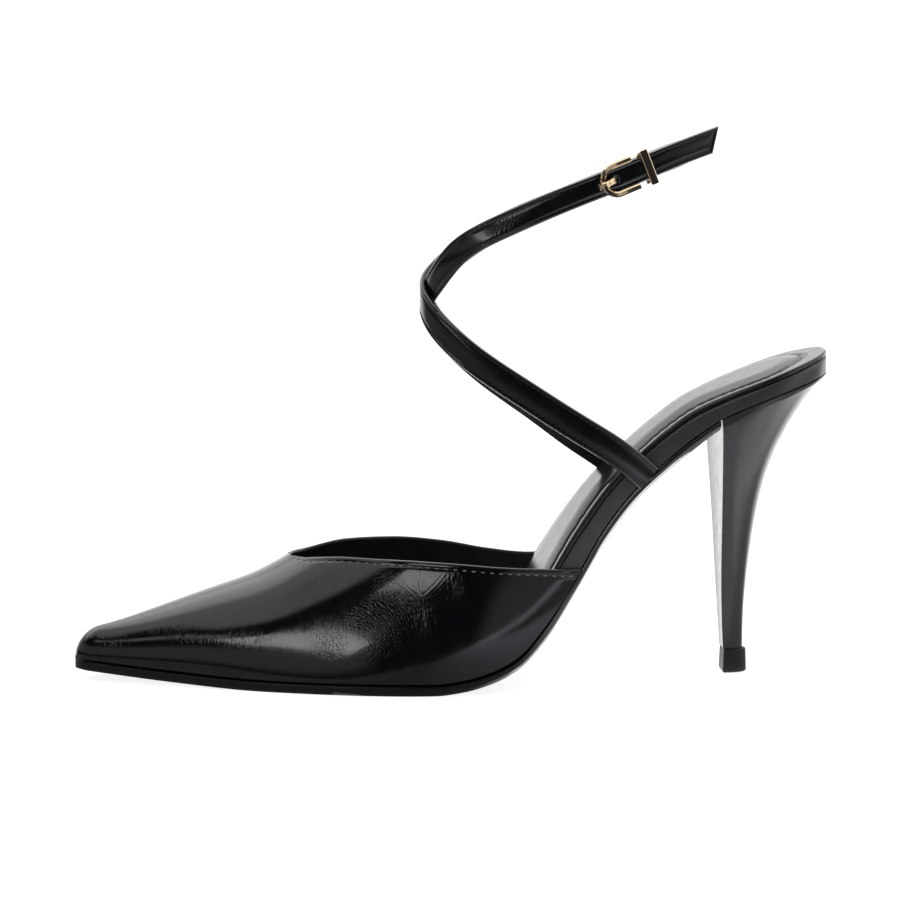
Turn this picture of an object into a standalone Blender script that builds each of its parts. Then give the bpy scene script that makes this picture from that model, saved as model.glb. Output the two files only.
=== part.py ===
"""Pointed high-heel shoe for the left foot, with a crossed ankle strap and a small buckle.

Sizes are in millimetres and become metres when a mesh is made. X runs from the toe tip to the heel back,
-Y is the outer side of the foot and Z is up from the floor. A station is a distance from the toe tip.
"""

import bmesh
import bpy
import numpy as np

MM = 0.001
LENGTH = 242.0
FIT = 0.3
CENTRE_SHIFT = 0.75
OUTER = -1
INNER = 1

TOE_ROUND = 5.0
HEEL_ROUND = 24.0
HEEL_BROW = 1.2
TIP_START = 0.06

VAMP_WALL = 1.5
VAMP_THROAT = 68.5
VAMP_END = 160.2
VAMP_COLUMNS = 9
NOSE_LENGTH = 8.0
TOE_FADE = 30.0
NOSE_DROP = 8.6

OUTSOLE_END = 205.4
INSOLE_START = 5.5
SOCK_START = 7.0
SOCK_INSET = 0.7
SOCK_THICK = 1.5
EDGE_ROUND = 0.9
FLAT_SHARE = 0.3

HEEL_RINGS = 16
HEEL_HALF_POINTS = 9
HEEL_INSET = 0.2
BREAST_SCOOP = 0.05
BREAST_POINTS = 3
TIP_FRONT = 208.9
TIP_BACK = 217.1
TIP_HALF_WIDTH = 4.9
TIP_HEIGHT = 7.6
TIP_FULLNESS = 0.8
TIP_POINTS = 13

STRAP_THICK = 1.8
STRAP_CORNER = 0.5
STRAP_STATIONS = 64
FINE_STATIONS = 2000
TIP_SKEW = 0.6
ANKLE_X = 35.0

BUCKLE_X = 54.2
BUCKLE_HALF_LENGTH = 9.2
BUCKLE_HALF_WIDTH = 5.5
BUCKLE_WIRE = 1.4
BUCKLE_CORNER = 4.2
KEEPER_WIDTH = 2.6
KEEPER_CORNER = 1.2
HINGE_ALONG = 3.4
HINGE_RADIUS = 0.55
HINGE_SIDES = 12
ARM_STEPS = 9
PRONG_WIDTH = 1.7


def table(columns, *rows):
    """Short table with named columns."""
    return dict(zip(columns.split(), np.array(rows, float).T))


# Outline of the footbed seen from above.
PLAN = table(
    "station centre half_width",
    (0, 4.0, 2.5),
    (10, 3.8, 6.7),
    (25, 3.3, 13.1),
    (45, 2.4, 21.2),
    (65, 1.5, 28.2),
    (85, 0.6, 33.4),
    (104, -0.5, 35.6),
    (122, -1.6, 34.4),
    (140, -2.2, 29.6),
    (158, -1.9, 23.6),
    (176, -0.9, 19.6),
    (190, -0.3, 18.9),
    (205, 0.0, 21.0),
    (220, 0.0, 23.0),
    (242, 0.0, 23.2),
)

# Heights of the sole's layers, and how far the outsole stands out past the footbed and is bevelled.
SOLE = table(
    "station under feather bed lip bevel",
    (0, 3.2, 6.1, 8.8, 2.2, 0.7),
    (30, 1.2, 4.2, 7.2, 2.2, 0.7),
    (60, 0.0, 3.0, 6.3, 2.2, 0.7),
    (104, 0.0, 3.0, 6.6, 2.2, 0.7),
    (113, 0.0, 3.0, 7.4, 2.2, 0.8),
    (122, 0.85, 3.9, 9.4, 2.2, 1.2),
    (131, 2.85, 6.0, 13.4, 2.2, 1.8),
    (140, 6.9, 10.3, 21.2, 2.2, 2.4),
    (149, 15.3, 20.0, 34.3, 1.8, 2.9),
    (159, 29.8, 34.7, 50.2, 0.9, 3.2),
    (168.5, 45.0, 50.1, 62.8, 0.2, 3.2),
    (178.5, 57.8, 62.2, 72.8, 0.0, 3.2),
    (188, 66.7, 70.7, 81.0, 0.0, 3.2),
    (198, 75.1, 78.9, 88.0, 0.0, 3.0),
    (206, 81.3, 84.3, 91.8, 0.0, 2.6),
    (220, 87.6, 90.6, 97.4, 0.0, 2.6),
    (232, 91.8, 94.8, 101.9, 0.0, 2.6),
    (242, 94.7, 97.6, 105.2, 0.0, 2.6),
)

# Ridge line of the foot over the vamp, the cut of its topline on the outer and the inner side of the foot,
# and the swell of its sides.
VAMP = table(
    "station ridge outer_top inner_top swell",
    (0, 15.0, 15.0, 15.0, 0.0),
    (10, 17.3, 17.3, 17.3, 0.2),
    (28, 23.2, 23.2, 23.2, 0.5),
    (47, 29.9, 29.9, 29.9, 0.3),
    (57, 33.5, 33.5, 33.5, -0.2),
    (68.5, 39.6, 39.6, 39.6, -1.0),
    (76, 44.2, 41.2, 40.7, -1.4),
    (88, 51.0, 42.2, 42.3, -1.3),
    (104, 59.5, 42.1, 41.8, -0.5),
    (120, 67.0, 41.4, 39.9, 0.6),
    (135, 74.0, 40.0, 37.2, 1.1),
    (148, 80.0, 39.0, 36.0, 1.0),
    (154, 83.0, 38.5, 36.4, 0.9),
    (161, 86.0, 38.2, 38.5, 0.8),
)

# Heel block from the top piece up to the seat: breast and back of each ring.
HEEL = table(
    "front front_height back back_height half_width",
    (208.9, 7.9, 215.8, 7.9, 4.4),
    (208.2, 20.0, 216.0, 20.0, 5.3),
    (207.6, 34.0, 217.0, 33.0, 7.3),
    (207.2, 48.0, 219.0, 48.5, 10.2),
    (206.8, 60.0, 222.2, 63.5, 13.4),
    (206.4, 70.0, 227.4, 76.8, 16.8),
    (206.1, 78.0, 234.2, 88.4, 20.0),
    (205.9, 82.0, 239.4, 95.0, 22.2),
    (205.8, 84.0, 241.8, 97.3, 23.1),
)

# Centre line of the strap from the outer side: up to the front, round the far side and the back, and along
# the inside of the other strap to the hinge bar.
OUTER_STRAP = table(
    "x y z width",
    (61.4, -21.0, 66.0, 9.0),
    (54.7, -22.1, 71.9, 9.0),
    (39.3, -21.9, 82.1, 9.0),
    (20.4, -19.3, 94.2, 8.9),
    (2.0, -14.5, 107.2, 8.8),
    (-7.3, -7.5, 117.4, 8.6),
    (-9.0, 0.0, 123.6, 8.2),
    (-4.2, 8.0, 129.4, 8.0),
    (10.5, 15.5, 139.8, 7.9),
    (38.0, 17.0, 152.2, 7.8),
    (62.0, 13.5, 161.9, 7.6),
    (74.5, 5.5, 167.0, 7.6),
    (76.0, -4.5, 169.0, 7.6),
    (69.0, -13.2, 168.0, 7.6),
    (58.8, -16.4, 164.1, 7.6),
)

# Centre line of the strap from the inner side: up to the front inside the other one, and along the outer
# side through the buckle to its tip.
INNER_STRAP = table(
    "x y z width",
    (57.8, 19.9, 63.2, 9.0),
    (51.5, 20.5, 68.0, 9.0),
    (43.7, 20.3, 73.3, 9.0),
    (28.9, 19.8, 84.3, 9.0),
    (14.0, 17.4, 95.1, 8.9),
    (1.5, 12.0, 106.3, 8.8),
    (-5.4, 5.5, 115.0, 8.7),
    (-7.4, -0.5, 122.2, 8.5),
    (-5.0, -6.5, 128.6, 8.4),
    (1.9, -13.4, 138.2, 8.3),
    (15.7, -17.6, 146.4, 8.1),
    (34.4, -19.4, 154.5, 7.9),
    (53.4, -19.0, 161.8, 7.6),
    (67.0, -17.0, 167.2, 7.7),
    (83.0, -12.0, 172.7, 7.8),
)

# Buckle frame in the strap's own directions: lower and upper side of its metal.
BUCKLE_DEPTH = table(
    "along low high",
    (-9.2, 1.2, 2.6),
    (-6.5, 1.0, 2.4),
    (-2.0, -0.6, 1.4),
    (2.0, -2.2, 0.9),
    (5.0, -2.2, 0.9),
    (7.4, 1.2, 2.2),
    (9.2, 1.2, 2.2),
)

# Prong from the strap hole over the front of the frame.
PRONG = table(
    "along low high",
    (-4.4, 1.25, 2.0),
    (-5.8, 1.45, 2.5),
    (-7.2, 2.9, 3.7),
    (-8.4, 3.0, 3.9),
    (-9.6, 2.6, 3.4),
    (-10.2, 1.9, 2.5),
)


def spline(at, xs, ys):
    """Natural cubic curve through the points of a table."""
    step = np.diff(xs)
    count = len(xs)
    left = np.eye(count)
    right = np.zeros(count)
    slope = np.diff(ys) / step
    for k in range(1, count - 1):
        left[k, k - 1:k + 2] = step[k - 1], 2 * (step[k - 1] + step[k]), step[k]
        right[k] = 6 * (slope[k] - slope[k - 1])
    bend = np.linalg.solve(left, right)
    at = np.clip(at, xs[0], xs[-1])
    k = np.clip(np.searchsorted(xs, at) - 1, 0, count - 2)
    a = xs[k + 1] - at
    b = at - xs[k]
    h = step[k]
    curve = (bend[k] * a**3 + bend[k + 1] * b**3) / (6 * h)
    return curve + (ys[k] / h - bend[k] * h / 6) * a + (ys[k + 1] / h - bend[k + 1] * h / 6) * b


def steady(at, xs, ys):
    """Smooth curve through the points of a table that never overshoots, so that flat stretches stay flat."""
    step = np.diff(xs)
    slope = np.diff(ys) / step
    before = slope[:-1]
    after = slope[1:]
    same_way = before * after > 0
    weight_before = 2 * step[1:] + step[:-1]
    weight_after = step[1:] + 2 * step[:-1]
    safe_before = np.where(same_way, before, 1.0)
    safe_after = np.where(same_way, after, 1.0)
    mean = (weight_before + weight_after) / (weight_before / safe_before + weight_after / safe_after)
    tangent = np.concatenate([slope[:1], np.where(same_way, mean, 0.0), slope[-1:]])
    at = np.clip(at, xs[0], xs[-1])
    k = np.clip(np.searchsorted(xs, at) - 1, 0, len(xs) - 2)
    t = (at - xs[k]) / step[k]
    value = ys[k] * (1 + 2 * t) * (1 - t) ** 2 + ys[k + 1] * t**2 * (3 - 2 * t)
    return value + step[k] * (tangent[k] * t * (1 - t) ** 2 - tangent[k + 1] * t**2 * (1 - t))


def sole(column, station):
    return steady(station, SOLE["station"], SOLE[column])


def centre(station):
    return spline(station, PLAN["station"], PLAN["centre"]) + CENTRE_SHIFT


def half_width(station, start, margin):
    """Half the width of the outline at a station, round at the toe, which begins at start, and the heel."""
    width = spline(station, PLAN["station"], PLAN["half_width"]) + margin
    toe = np.clip((station - start) / TOE_ROUND, 0, 1)
    heel = np.clip((LENGTH - station) / HEEL_ROUND, 0, 1)
    return width * np.sqrt(1 - (1 - toe) ** 2) * np.sqrt(1 - (1 - heel) ** 2)


def spaced(start, end, step):
    """Stations from start to end, closer together towards the round toe."""
    near_toe = start + np.array([0.0, 0.4, 1.2, 2.4, 4.0, 6.5, 10.0])
    rest = np.linspace(near_toe[-1], end, round((end - near_toe[-1]) / step) + 1)
    return np.concatenate([near_toe, rest[1:]])


def heel_round(count):
    """Stations round the heel back, closer together towards its end."""
    return LENGTH - HEEL_ROUND * (1 - np.sin(np.linspace(0, np.pi / 2 - 0.04, count)))


def material(name, colour, roughness, metallic=0.0):
    made = bpy.data.materials.new(name)
    made.use_nodes = True
    shader = made.node_tree.nodes["Principled BSDF"]
    shader.inputs["Base Color"].default_value = (*colour, 1.0)
    shader.inputs["Roughness"].default_value = roughness
    shader.inputs["Metallic"].default_value = metallic
    return made


def weld(name, patches, look, sharp=40.0):
    """One closed object from grids of points and end faces that share their edges."""
    mesh = bmesh.new()
    for patch in patches:
        points = np.asarray(patch, float)
        rows, columns = points.shape[:2]
        made = [[mesh.verts.new(p * MM) for p in row] for row in points]
        if rows == 1:
            mesh.faces.new(made[0])
            continue
        for i in range(rows - 1):
            for j in range(columns - 1):
                mesh.faces.new((made[i][j], made[i + 1][j], made[i + 1][j + 1], made[i][j + 1]))
    bmesh.ops.remove_doubles(mesh, verts=mesh.verts, dist=0.001 * MM)
    bmesh.ops.recalc_face_normals(mesh, faces=mesh.faces)
    data = bpy.data.meshes.new(name)
    mesh.to_mesh(data)
    mesh.free()
    data.shade_smooth()
    data.set_sharp_from_angle(angle=np.radians(sharp))
    data.materials.append(look)
    made = bpy.data.objects.new(name, data)
    bpy.context.scene.collection.objects.link(made)
    return made


def loft(name, rings, look, sharp=40.0):
    """Closed tube through rings of points, with a flat face at each end."""
    rings = np.asarray(rings, float)
    closed = np.concatenate([rings, rings[:, :1]], axis=1)
    return weld(name, [closed, rings[:1], rings[-1:]], look, sharp)


def along_x(station):
    return np.asarray(station, float) - LENGTH / 2


def layer(name, stations, start, margin, low, high, bevel, ease, look):
    """A layer of the sole: an outline with upright sides between two heights.

    The bevel takes off its lower edge, the ease its upper edge, and the narrow toe keeps a flat share.
    """
    rings = []
    for k, station in enumerate(stations):
        wide = half_width(station, start, margin[k])
        thick = high[k] - low[k]
        lower = max(wide - bevel[k], FLAT_SHARE * wide)
        upper = max(wide - ease, FLAT_SHARE * wide)
        middle = centre(station)
        top_of_bevel = low[k] + min(bevel[k], thick / 2)
        foot_of_ease = high[k] - min(ease, FLAT_SHARE * thick)
        half = [(lower, low[k]), (wide, top_of_bevel), (wide, foot_of_ease), (upper, high[k])]
        ring = [(middle - y, z) for y, z in half] + [(middle + y, z) for y, z in reversed(half)]
        rings.append([(along_x(station), y, z) for y, z in ring])
    return loft(name, rings, look)


def build_outsole():
    look = material("outsole black", (0.012, 0.012, 0.013), 0.45)
    stations = spaced(TIP_START, OUTSOLE_END, 5.0)
    low = sole("under", stations)
    high = sole("feather", stations)
    lip = sole("lip", stations)
    return layer("outsole", stations, 0.0, lip, low, high, sole("bevel", stations), 0.0, look)


def bed_stations(start):
    return np.concatenate([spaced(start + TIP_START, LENGTH - HEEL_ROUND, 5.5)[:-1], heel_round(9)])


def bed(station):
    """Top of the footbed, rounded off at the heel back."""
    brow = np.clip((station - LENGTH + HEEL_BROW) / HEEL_BROW, 0, 1)
    return sole("bed", station) - HEEL_BROW * (1 - np.sqrt(1 - brow**2))


def rise_over(station, gap):
    """Height that keeps a gap square to the slope of the footbed."""
    step = 0.5
    slope = (sole("feather", station + step) - sole("feather", station - step)) / (2 * step)
    return gap * np.sqrt(1 + slope**2)


def feather_edge(station):
    """Height at which the vamp and the insole stand on the outsole."""
    return sole("feather", station) + rise_over(station, FIT)


def build_insole():
    look = material("wrapped edge charcoal", (0.030, 0.030, 0.033), 0.5)
    stations = bed_stations(INSOLE_START)
    low = feather_edge(stations)
    high = bed(stations) - rise_over(stations, SOCK_THICK + FIT)
    none = np.zeros(len(stations))
    return layer("insole", stations, INSOLE_START, none, low, high, none + FIT, EDGE_ROUND, look)


def build_sock():
    look = material("sock black", (0.016, 0.016, 0.018), 0.32)
    stations = bed_stations(SOCK_START)
    low = bed(stations) - rise_over(stations, SOCK_THICK)
    high = bed(stations)
    none = np.zeros(len(stations))
    return layer("sock", stations, SOCK_START, none - SOCK_INSET, low, high, none, EDGE_ROUND, look)


def ridge(station, inset):
    """Height of the vamp's ridge at a depth inside its outer face, with the round nose of the toe."""
    nose = np.clip((station - inset) / NOSE_LENGTH, 0, 1)
    drop = (NOSE_DROP - inset) * (1 - np.sqrt(1 - (1 - nose) ** 2))
    return steady(station, VAMP["station"], VAMP["ridge"]) - inset - drop


def vamp_side(stations, side, inset):
    """Grid of points over one side of the vamp, from the feather edge up, set in from its outer face."""
    foot = feather_edge(stations)
    cut = steady(stations, VAMP["station"], VAMP["outer_top" if side == OUTER else "inner_top"])
    kept_share = np.clip((cut - foot) / (ridge(stations, 0.0) - foot), 0.0, 1.0)
    top_angle = np.where(stations > VAMP_THROAT, np.arcsin(kept_share), np.pi / 2)
    angle = top_angle[:, None] * np.linspace(0, 1, VAMP_COLUMNS + 1)
    set_back = stations + inset * (1 - np.clip(stations / TOE_FADE, 0, 1))
    reach = half_width(set_back, inset, VAMP_WALL + FIT - inset)
    foot = feather_edge(set_back)
    height = np.maximum(ridge(set_back, inset) - foot, 0.0)
    swell = steady(set_back, VAMP["station"], VAMP["swell"]) * np.clip((set_back - inset) / TOE_ROUND, 0, 1)
    out = reach[:, None] * np.cos(angle) + swell[:, None] * np.sin(2 * angle)
    up = foot[:, None] + height[:, None] * np.sin(angle)
    x = np.broadcast_to(along_x(set_back)[:, None], out.shape)
    return np.stack([x, centre(set_back)[:, None] + side * out, up], axis=-1)


def build_vamp():
    look = material("patent black", (0.010, 0.011, 0.014), 0.16)
    before = np.concatenate([[0.0], spaced(TIP_START, VAMP_THROAT, 4.8)])
    after = VAMP_THROAT + np.array([0.4, 1.4, 3.0, 5.2, 8.0])
    rest = np.linspace(after[-1], VAMP_END, 19)[1:]
    stations = np.concatenate([before, after, rest])
    throat = len(before) - 1
    patches = []
    for side in (OUTER, INNER):
        outer = vamp_side(stations, side, 0.0)
        inner = vamp_side(stations, side, VAMP_WALL)
        patches += [outer, inner]
        patches.append(np.stack([outer[:, 0], inner[:, 0]], axis=1))
        patches.append(np.stack([outer[throat:, -1], inner[throat:, -1]], axis=1))
        patches.append(np.stack([outer[-1], inner[-1]], axis=1))
    return weld("vamp", patches, look, 50.0)


def build_heel():
    """Rings that change from the small tip's half round to the outline of the heel seat."""
    look = material("heel black", (0.012, 0.012, 0.014), 0.15)
    row = np.arange(len(HEEL["front"]), dtype=float)
    at = np.linspace(0, row[-1], HEEL_RINGS)
    ring_of = {name: spline(at, row, values) for name, values in HEEL.items()}
    turn = np.linspace(0, np.pi / 2, HEEL_HALF_POINTS)
    rings = []
    for k in range(HEEL_RINGS):
        front, back = ring_of["front"][k], ring_of["back"][k]
        share = np.sin(turn)
        station = front + (back - front) * share
        seat = at[k] / row[-1]
        seat_shape = half_width(station + (LENGTH - HEEL_INSET - back) * share, 0.0, 0.0)
        tip_shape = np.cos(turn)
        wide = (1 - seat**2) * ring_of["half_width"][k] * tip_shape + seat**2 * seat_shape
        wide = np.where(share >= 1.0, 0.0, wide)
        level = ring_of["front_height"][k] + (ring_of["back_height"][k] - ring_of["front_height"][k]) * share
        if k == HEEL_RINGS - 1:
            level = sole("feather", station)
        half = np.stack([along_x(station), wide, level], axis=-1)
        breast = np.linspace(1, -1, BREAST_POINTS + 2)[1:-1]
        scoop = BREAST_SCOOP * wide[0] * (1 - breast**2)
        flat = np.full(BREAST_POINTS, level[0])
        across = np.stack([along_x(front) + scoop, breast * wide[0], flat], axis=-1)
        mirrored = half * (1, -1, 1)
        ring = np.concatenate([mirrored, half[-2::-1], across])
        ring[:, 1] += CENTRE_SHIFT
        rings.append(ring)
    return loft("heel", rings, look, 50.0)


def build_heel_tip():
    look = material("top piece black", (0.010, 0.010, 0.010), 0.5)
    turn = np.linspace(-np.pi / 2, np.pi / 2, TIP_POINTS)
    x = along_x(TIP_FRONT + (TIP_BACK - TIP_FRONT) * np.abs(np.cos(turn)) ** TIP_FULLNESS)
    y = TIP_HALF_WIDTH * np.sin(turn) + CENTRE_SHIFT
    rings = [np.stack([x, y, np.full(TIP_POINTS, level)], axis=-1) for level in (0.0, TIP_HEIGHT)]
    return loft("heel_tip", rings, look)


def strap_path(rows, count):
    """Points, directions and widths along a strap whose face stands upright round the ankle."""
    points = np.stack([rows["x"], rows["y"], rows["z"]], axis=-1)
    reach = np.concatenate([[0.0], np.cumsum(np.linalg.norm(np.diff(points, axis=0), axis=1))])
    at = np.linspace(0, reach[-1], count)
    line = np.stack([spline(at, reach, points[:, k]) for k in range(3)], axis=-1)
    line[:, 1] += CENTRE_SHIFT
    forward = np.gradient(line, axis=0)
    forward /= np.linalg.norm(forward, axis=1)[:, None]
    outward = np.stack([forward[:, 1], -forward[:, 0], np.zeros(count)], axis=-1)
    outward /= np.linalg.norm(outward, axis=1)[:, None]
    from_ankle = line - np.array([ANKLE_X, 0.0, 0.0])
    outward *= np.sign((outward * from_ankle).sum(axis=1))[:, None]
    upward = np.cross(forward, outward)
    upward *= np.sign(upward[:, 2])[:, None]
    return line, forward, outward, upward, spline(at, reach, rows["width"])


def strap_ring(line, outward, upward, width, thick):
    """Flat section of a strap with eased corners."""
    half = width / 2
    deep = thick / 2
    corner = STRAP_CORNER
    outline = [(half - corner, deep), (half, deep - corner), (half, corner - deep), (half - corner, -deep)]
    outline += [(-v, n) for v, n in reversed(outline)]
    return np.array([line + v * upward + n * outward for v, n in outline])


def build_strap(name, rows, look, tip_skew):
    line, forward, outward, upward, width = strap_path(rows, STRAP_STATIONS)
    rings = [strap_ring(line[k], outward[k], upward[k], width[k], STRAP_THICK) for k in range(STRAP_STATIONS)]
    rings = np.array(rings)
    across = ((rings[-1] - line[-1]) * upward[-1]).sum(axis=1)
    rings[-1] += tip_skew * across[:, None] * forward[-1]
    return loft(name, rings, look)


def build_ankle_strap():
    look = material("strap black", (0.014, 0.014, 0.016), 0.2)
    outer = build_strap("ankle_strap", OUTER_STRAP, look, 0.0)
    inner = build_strap("inner_strap", INNER_STRAP, look, TIP_SKEW)
    inner.hide_render = True
    inner.display_type = "WIRE"
    join = outer.modifiers.new("join where they cross", "BOOLEAN")
    join.operation = "UNION"
    join.object = inner
    return outer


def buckle_place():
    """Point of the inner strap under the buckle, and the directions along, across and out of it."""
    line, forward, outward, upward, width = strap_path(INNER_STRAP, FINE_STATIONS)
    k = FINE_STATIONS // 2 + np.argmin(np.abs(line[FINE_STATIONS // 2:, 0] - BUCKLE_X))
    return line[k], forward[k], upward[k], outward[k]


def buckle_ring(along, across, width, low, high, facing):
    """Rectangular section of the frame; facing is the direction of its width in along and across."""
    edges = []
    for side, level in ((-0.5, low), (0.5, low), (0.5, high), (-0.5, high)):
        edges.append((along + side * width * facing[0], across + side * width * facing[1], level))
    return edges


def placed(points):
    """Points given along, across and out of the strap at the buckle, in the shoe's own directions."""
    origin, forward, upward, outward = buckle_place()
    points = np.asarray(points, float)
    return origin + points[..., :1] * forward + points[..., 1:2] * upward + points[..., 2:] * outward


def corner_arc(along, across, radius, start_angle):
    turn = np.radians(start_angle + np.linspace(0, 90, 5))
    return [(along + radius * np.cos(a), across + radius * np.sin(a), a) for a in turn]


def build_buckle_frame():
    """Frame swept round its outline, with a wide keeper at its back end and a hinge bar under the strap."""
    look = material("pale gold", (0.80, 0.64, 0.40), 0.2, 1.0)
    half_long = BUCKLE_HALF_LENGTH - BUCKLE_WIRE / 2
    half_wide = BUCKLE_HALF_WIDTH - BUCKLE_WIRE / 2
    back = BUCKLE_HALF_LENGTH - KEEPER_WIDTH / 2
    path = corner_arc(back - KEEPER_CORNER, half_wide - KEEPER_CORNER, KEEPER_CORNER, 0)
    steps = np.linspace(back - KEEPER_CORNER, BUCKLE_CORNER - half_long, ARM_STEPS)[1:-1]
    path += [(along, half_wide, np.pi / 2) for along in steps]
    path += corner_arc(BUCKLE_CORNER - half_long, half_wide - BUCKLE_CORNER, BUCKLE_CORNER, 90)
    path += [(along, -across, -angle) for along, across, angle in reversed(path)]
    rings = []
    for along, across, angle in path:
        keeper = np.clip(abs(np.cos(angle)), 0, 1) if along > 0 else 0.0
        width = BUCKLE_WIRE + (KEEPER_WIDTH - BUCKLE_WIRE) * keeper
        low = steady(along, BUCKLE_DEPTH["along"], BUCKLE_DEPTH["low"])
        high = steady(along, BUCKLE_DEPTH["along"], BUCKLE_DEPTH["high"])
        rings.append(buckle_ring(along, across, width, low, high, (np.cos(angle), np.sin(angle))))
    rings = np.array(rings + rings[:1])
    closed = np.concatenate([rings, rings[:, :1]], axis=1)
    frame = weld("buckle_frame", [placed(closed)], look)
    turn = np.linspace(0, 2 * np.pi, HINGE_SIDES, endpoint=False)
    level = -STRAP_THICK / 2 - FIT - HINGE_RADIUS
    bar = [[(HINGE_ALONG + HINGE_RADIUS * np.cos(a), side * half_wide, level + HINGE_RADIUS * np.sin(a))
            for a in turn] for side in (-1, 1)]
    hinge = loft("hinge_bar", placed(bar), look)
    hinge.hide_render = True
    hinge.display_type = "WIRE"
    join = frame.modifiers.new("hinge bar", "BOOLEAN")
    join.operation = "UNION"
    join.object = hinge
    return frame


def build_buckle_prong():
    look = material("pale gold prong", (0.80, 0.64, 0.40), 0.2, 1.0)
    rings = []
    for along, low, high in zip(PRONG["along"], PRONG["low"], PRONG["high"]):
        rings.append(buckle_ring(along, 0.0, PRONG_WIDTH, low, high, (0.0, 1.0)))
    return loft("buckle_prong", placed(rings), look)


def main():
    for item in list(bpy.data.objects):
        bpy.data.objects.remove(item, do_unlink=True)
    build_outsole()
    build_insole()
    build_sock()
    build_vamp()
    build_heel()
    build_heel_tip()
    build_ankle_strap()
    build_buckle_frame()
    build_buckle_prong()


main()
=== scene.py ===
"""Looks of the pointed high-heel shoe: fine surfaces, creases, stitches, materials, light and camera.

Sizes are in millimetres and become metres when a mesh is made. X runs from the toe tip to the heel back,
-Y is the outer side of the foot and Z is up from the floor. A station is a distance from the toe tip.
"""

import bmesh
import bpy
import numpy as np
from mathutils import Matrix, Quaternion, Vector


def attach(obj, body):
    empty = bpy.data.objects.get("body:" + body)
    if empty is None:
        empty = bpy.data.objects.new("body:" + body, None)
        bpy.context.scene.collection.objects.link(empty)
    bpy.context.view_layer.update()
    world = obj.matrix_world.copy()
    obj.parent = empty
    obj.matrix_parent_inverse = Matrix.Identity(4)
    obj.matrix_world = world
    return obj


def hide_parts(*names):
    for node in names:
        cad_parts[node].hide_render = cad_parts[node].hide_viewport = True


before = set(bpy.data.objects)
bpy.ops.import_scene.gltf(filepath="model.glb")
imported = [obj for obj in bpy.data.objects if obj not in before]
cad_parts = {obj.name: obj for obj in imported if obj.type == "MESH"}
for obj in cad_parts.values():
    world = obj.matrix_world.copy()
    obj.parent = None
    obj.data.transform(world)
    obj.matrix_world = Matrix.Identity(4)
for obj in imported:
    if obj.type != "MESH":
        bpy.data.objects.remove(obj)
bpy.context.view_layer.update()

MM = 0.001
LENGTH = 242.0
FIT = 0.3
CENTRE_SHIFT = 0.75
OUTER = -1
INNER = 1

TOE_ROUND = 5.0
HEEL_ROUND = 24.0
HEEL_BROW = 1.2
TIP_START = 0.06
TOE_RUN = 10.0
TOE_STATIONS = 20
TOE_CROWDING = 2.2
HEEL_STATIONS = 40
HEEL_GAP = 0.02
BED_STEP = 1.4
WELD_GAP = 0.002

VAMP_WALL = 1.5
VAMP_THROAT = 68.5
VAMP_END = 160.2
NOSE_LENGTH = 8.0
TOE_FADE = 30.0
NOSE_DROP = 8.6
VAMP_STEP = 0.7
VAMP_FINE_STEP = 0.27
VAMP_FINE_END = 126.0
VAMP_COLUMNS = 136
INNER_COLUMNS = 56
LINING_COLUMNS = 20
RIM_POINTS = 7
RIM_FADE = 6.0
THROAT_FADE = 14.0
LAST_ROLL = 0.55
LAST_ROLL_SHARE = 0.035
SEAM_DROP = 1.55
SEAM_DEPTH = 0.12
SEAM_WIDTH = 0.45
SEAM_PITCH = 2.9
SEAM_THREAD = 0.22
RIM_STATIONS = 22
RIM_CROWDING = 1.8
EVEN_SHARE = 0.6
RIDGE_CLEAR = 0.6
ROLL_FADE = 6.0
INNER_CREASE_SHIFT = 3.0
TICKS_EVERYWHERE = 0.04
LIP_HEIGHT = 0.45
LIP_AWAY = 2.0
LIP_WIDTH = 1.1

OUTSOLE_END = 205.4
OUTSOLE_STEP = 1.6
OUTSOLE_SOFT = 0.3
FLAT_SHARE = 0.3
INSOLE_START = 5.5
INSOLE_ROLL = 1.0
SOCK_START = 7.0
SOCK_INSET = 0.7
SOCK_THICK = 1.5
SOCK_MARGIN = 4.4
SOCK_MARGIN_HEEL = 8.0
SOCK_HEEL_START = 218.0
SOCK_HEEL_RUN = 16.0
SOCK_PAD = 1.3
SOCK_PAD_RUN = 8.0
SOCK_GROOVE = 0.8
SOCK_GROOVE_WIDTH = 0.55
SOCK_EDGE = 0.9
PUCKER_PITCH = 2.6
PUCKER_DEPTH = 0.16
PUCKER_RUN = 1.8
PUCKER_SWAY = 0.9
PUCKER_SWAY_RUN = 3.7
GROOVE_WAVE = 0.25
SOCK_COLUMNS = 81
SOCK_UNDER_STEP = 20
SOCK_CROWDING = 0.75
SOCK_TIP_FADE = 6.0

HEEL_RINGS = 70
HEEL_HALF_POINTS = 30
HEEL_INSET = 0.2
BREAST_SCOOP = 0.05
BREAST_POINTS = 15
TIP_FRONT = 208.9
TIP_BACK = 217.1
TIP_HALF_WIDTH = 4.9
TIP_FULLNESS = 0.8
TIP_POINTS = 49

STRAP_THICK = 1.8
STRAP_STATIONS = 760
STRAP_COLUMNS = 35
STRAP_EDGE_COLUMNS = 4
FINE_STATIONS = 2000
TIP_SKEW = 0.6
TIP_RAMP = 9.0
ANKLE_X = 35.0
STRAP_EDGE_ROUND = 0.85
STRAP_LINING_ROUND = 0.5
STRAP_SEAM_IN = 1.35
STRAP_SEAM_DEPTH = 0.26
STRAP_SEAM_WIDTH = 0.3
STRAP_DOME = 0.16
STRAP_FILL = 0.4
STRAP_CROWDING = 0.65
STRAP_SEAM_PITCH = 2.0
STRAP_THREAD = 0.16
STRAP_THREAD_LIFT = 0.02
STRAP_DOME_RUN = 1.5
STRAP_CREASE_IN = 1.4
CROSSING_HEIGHT = 130.0

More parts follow.
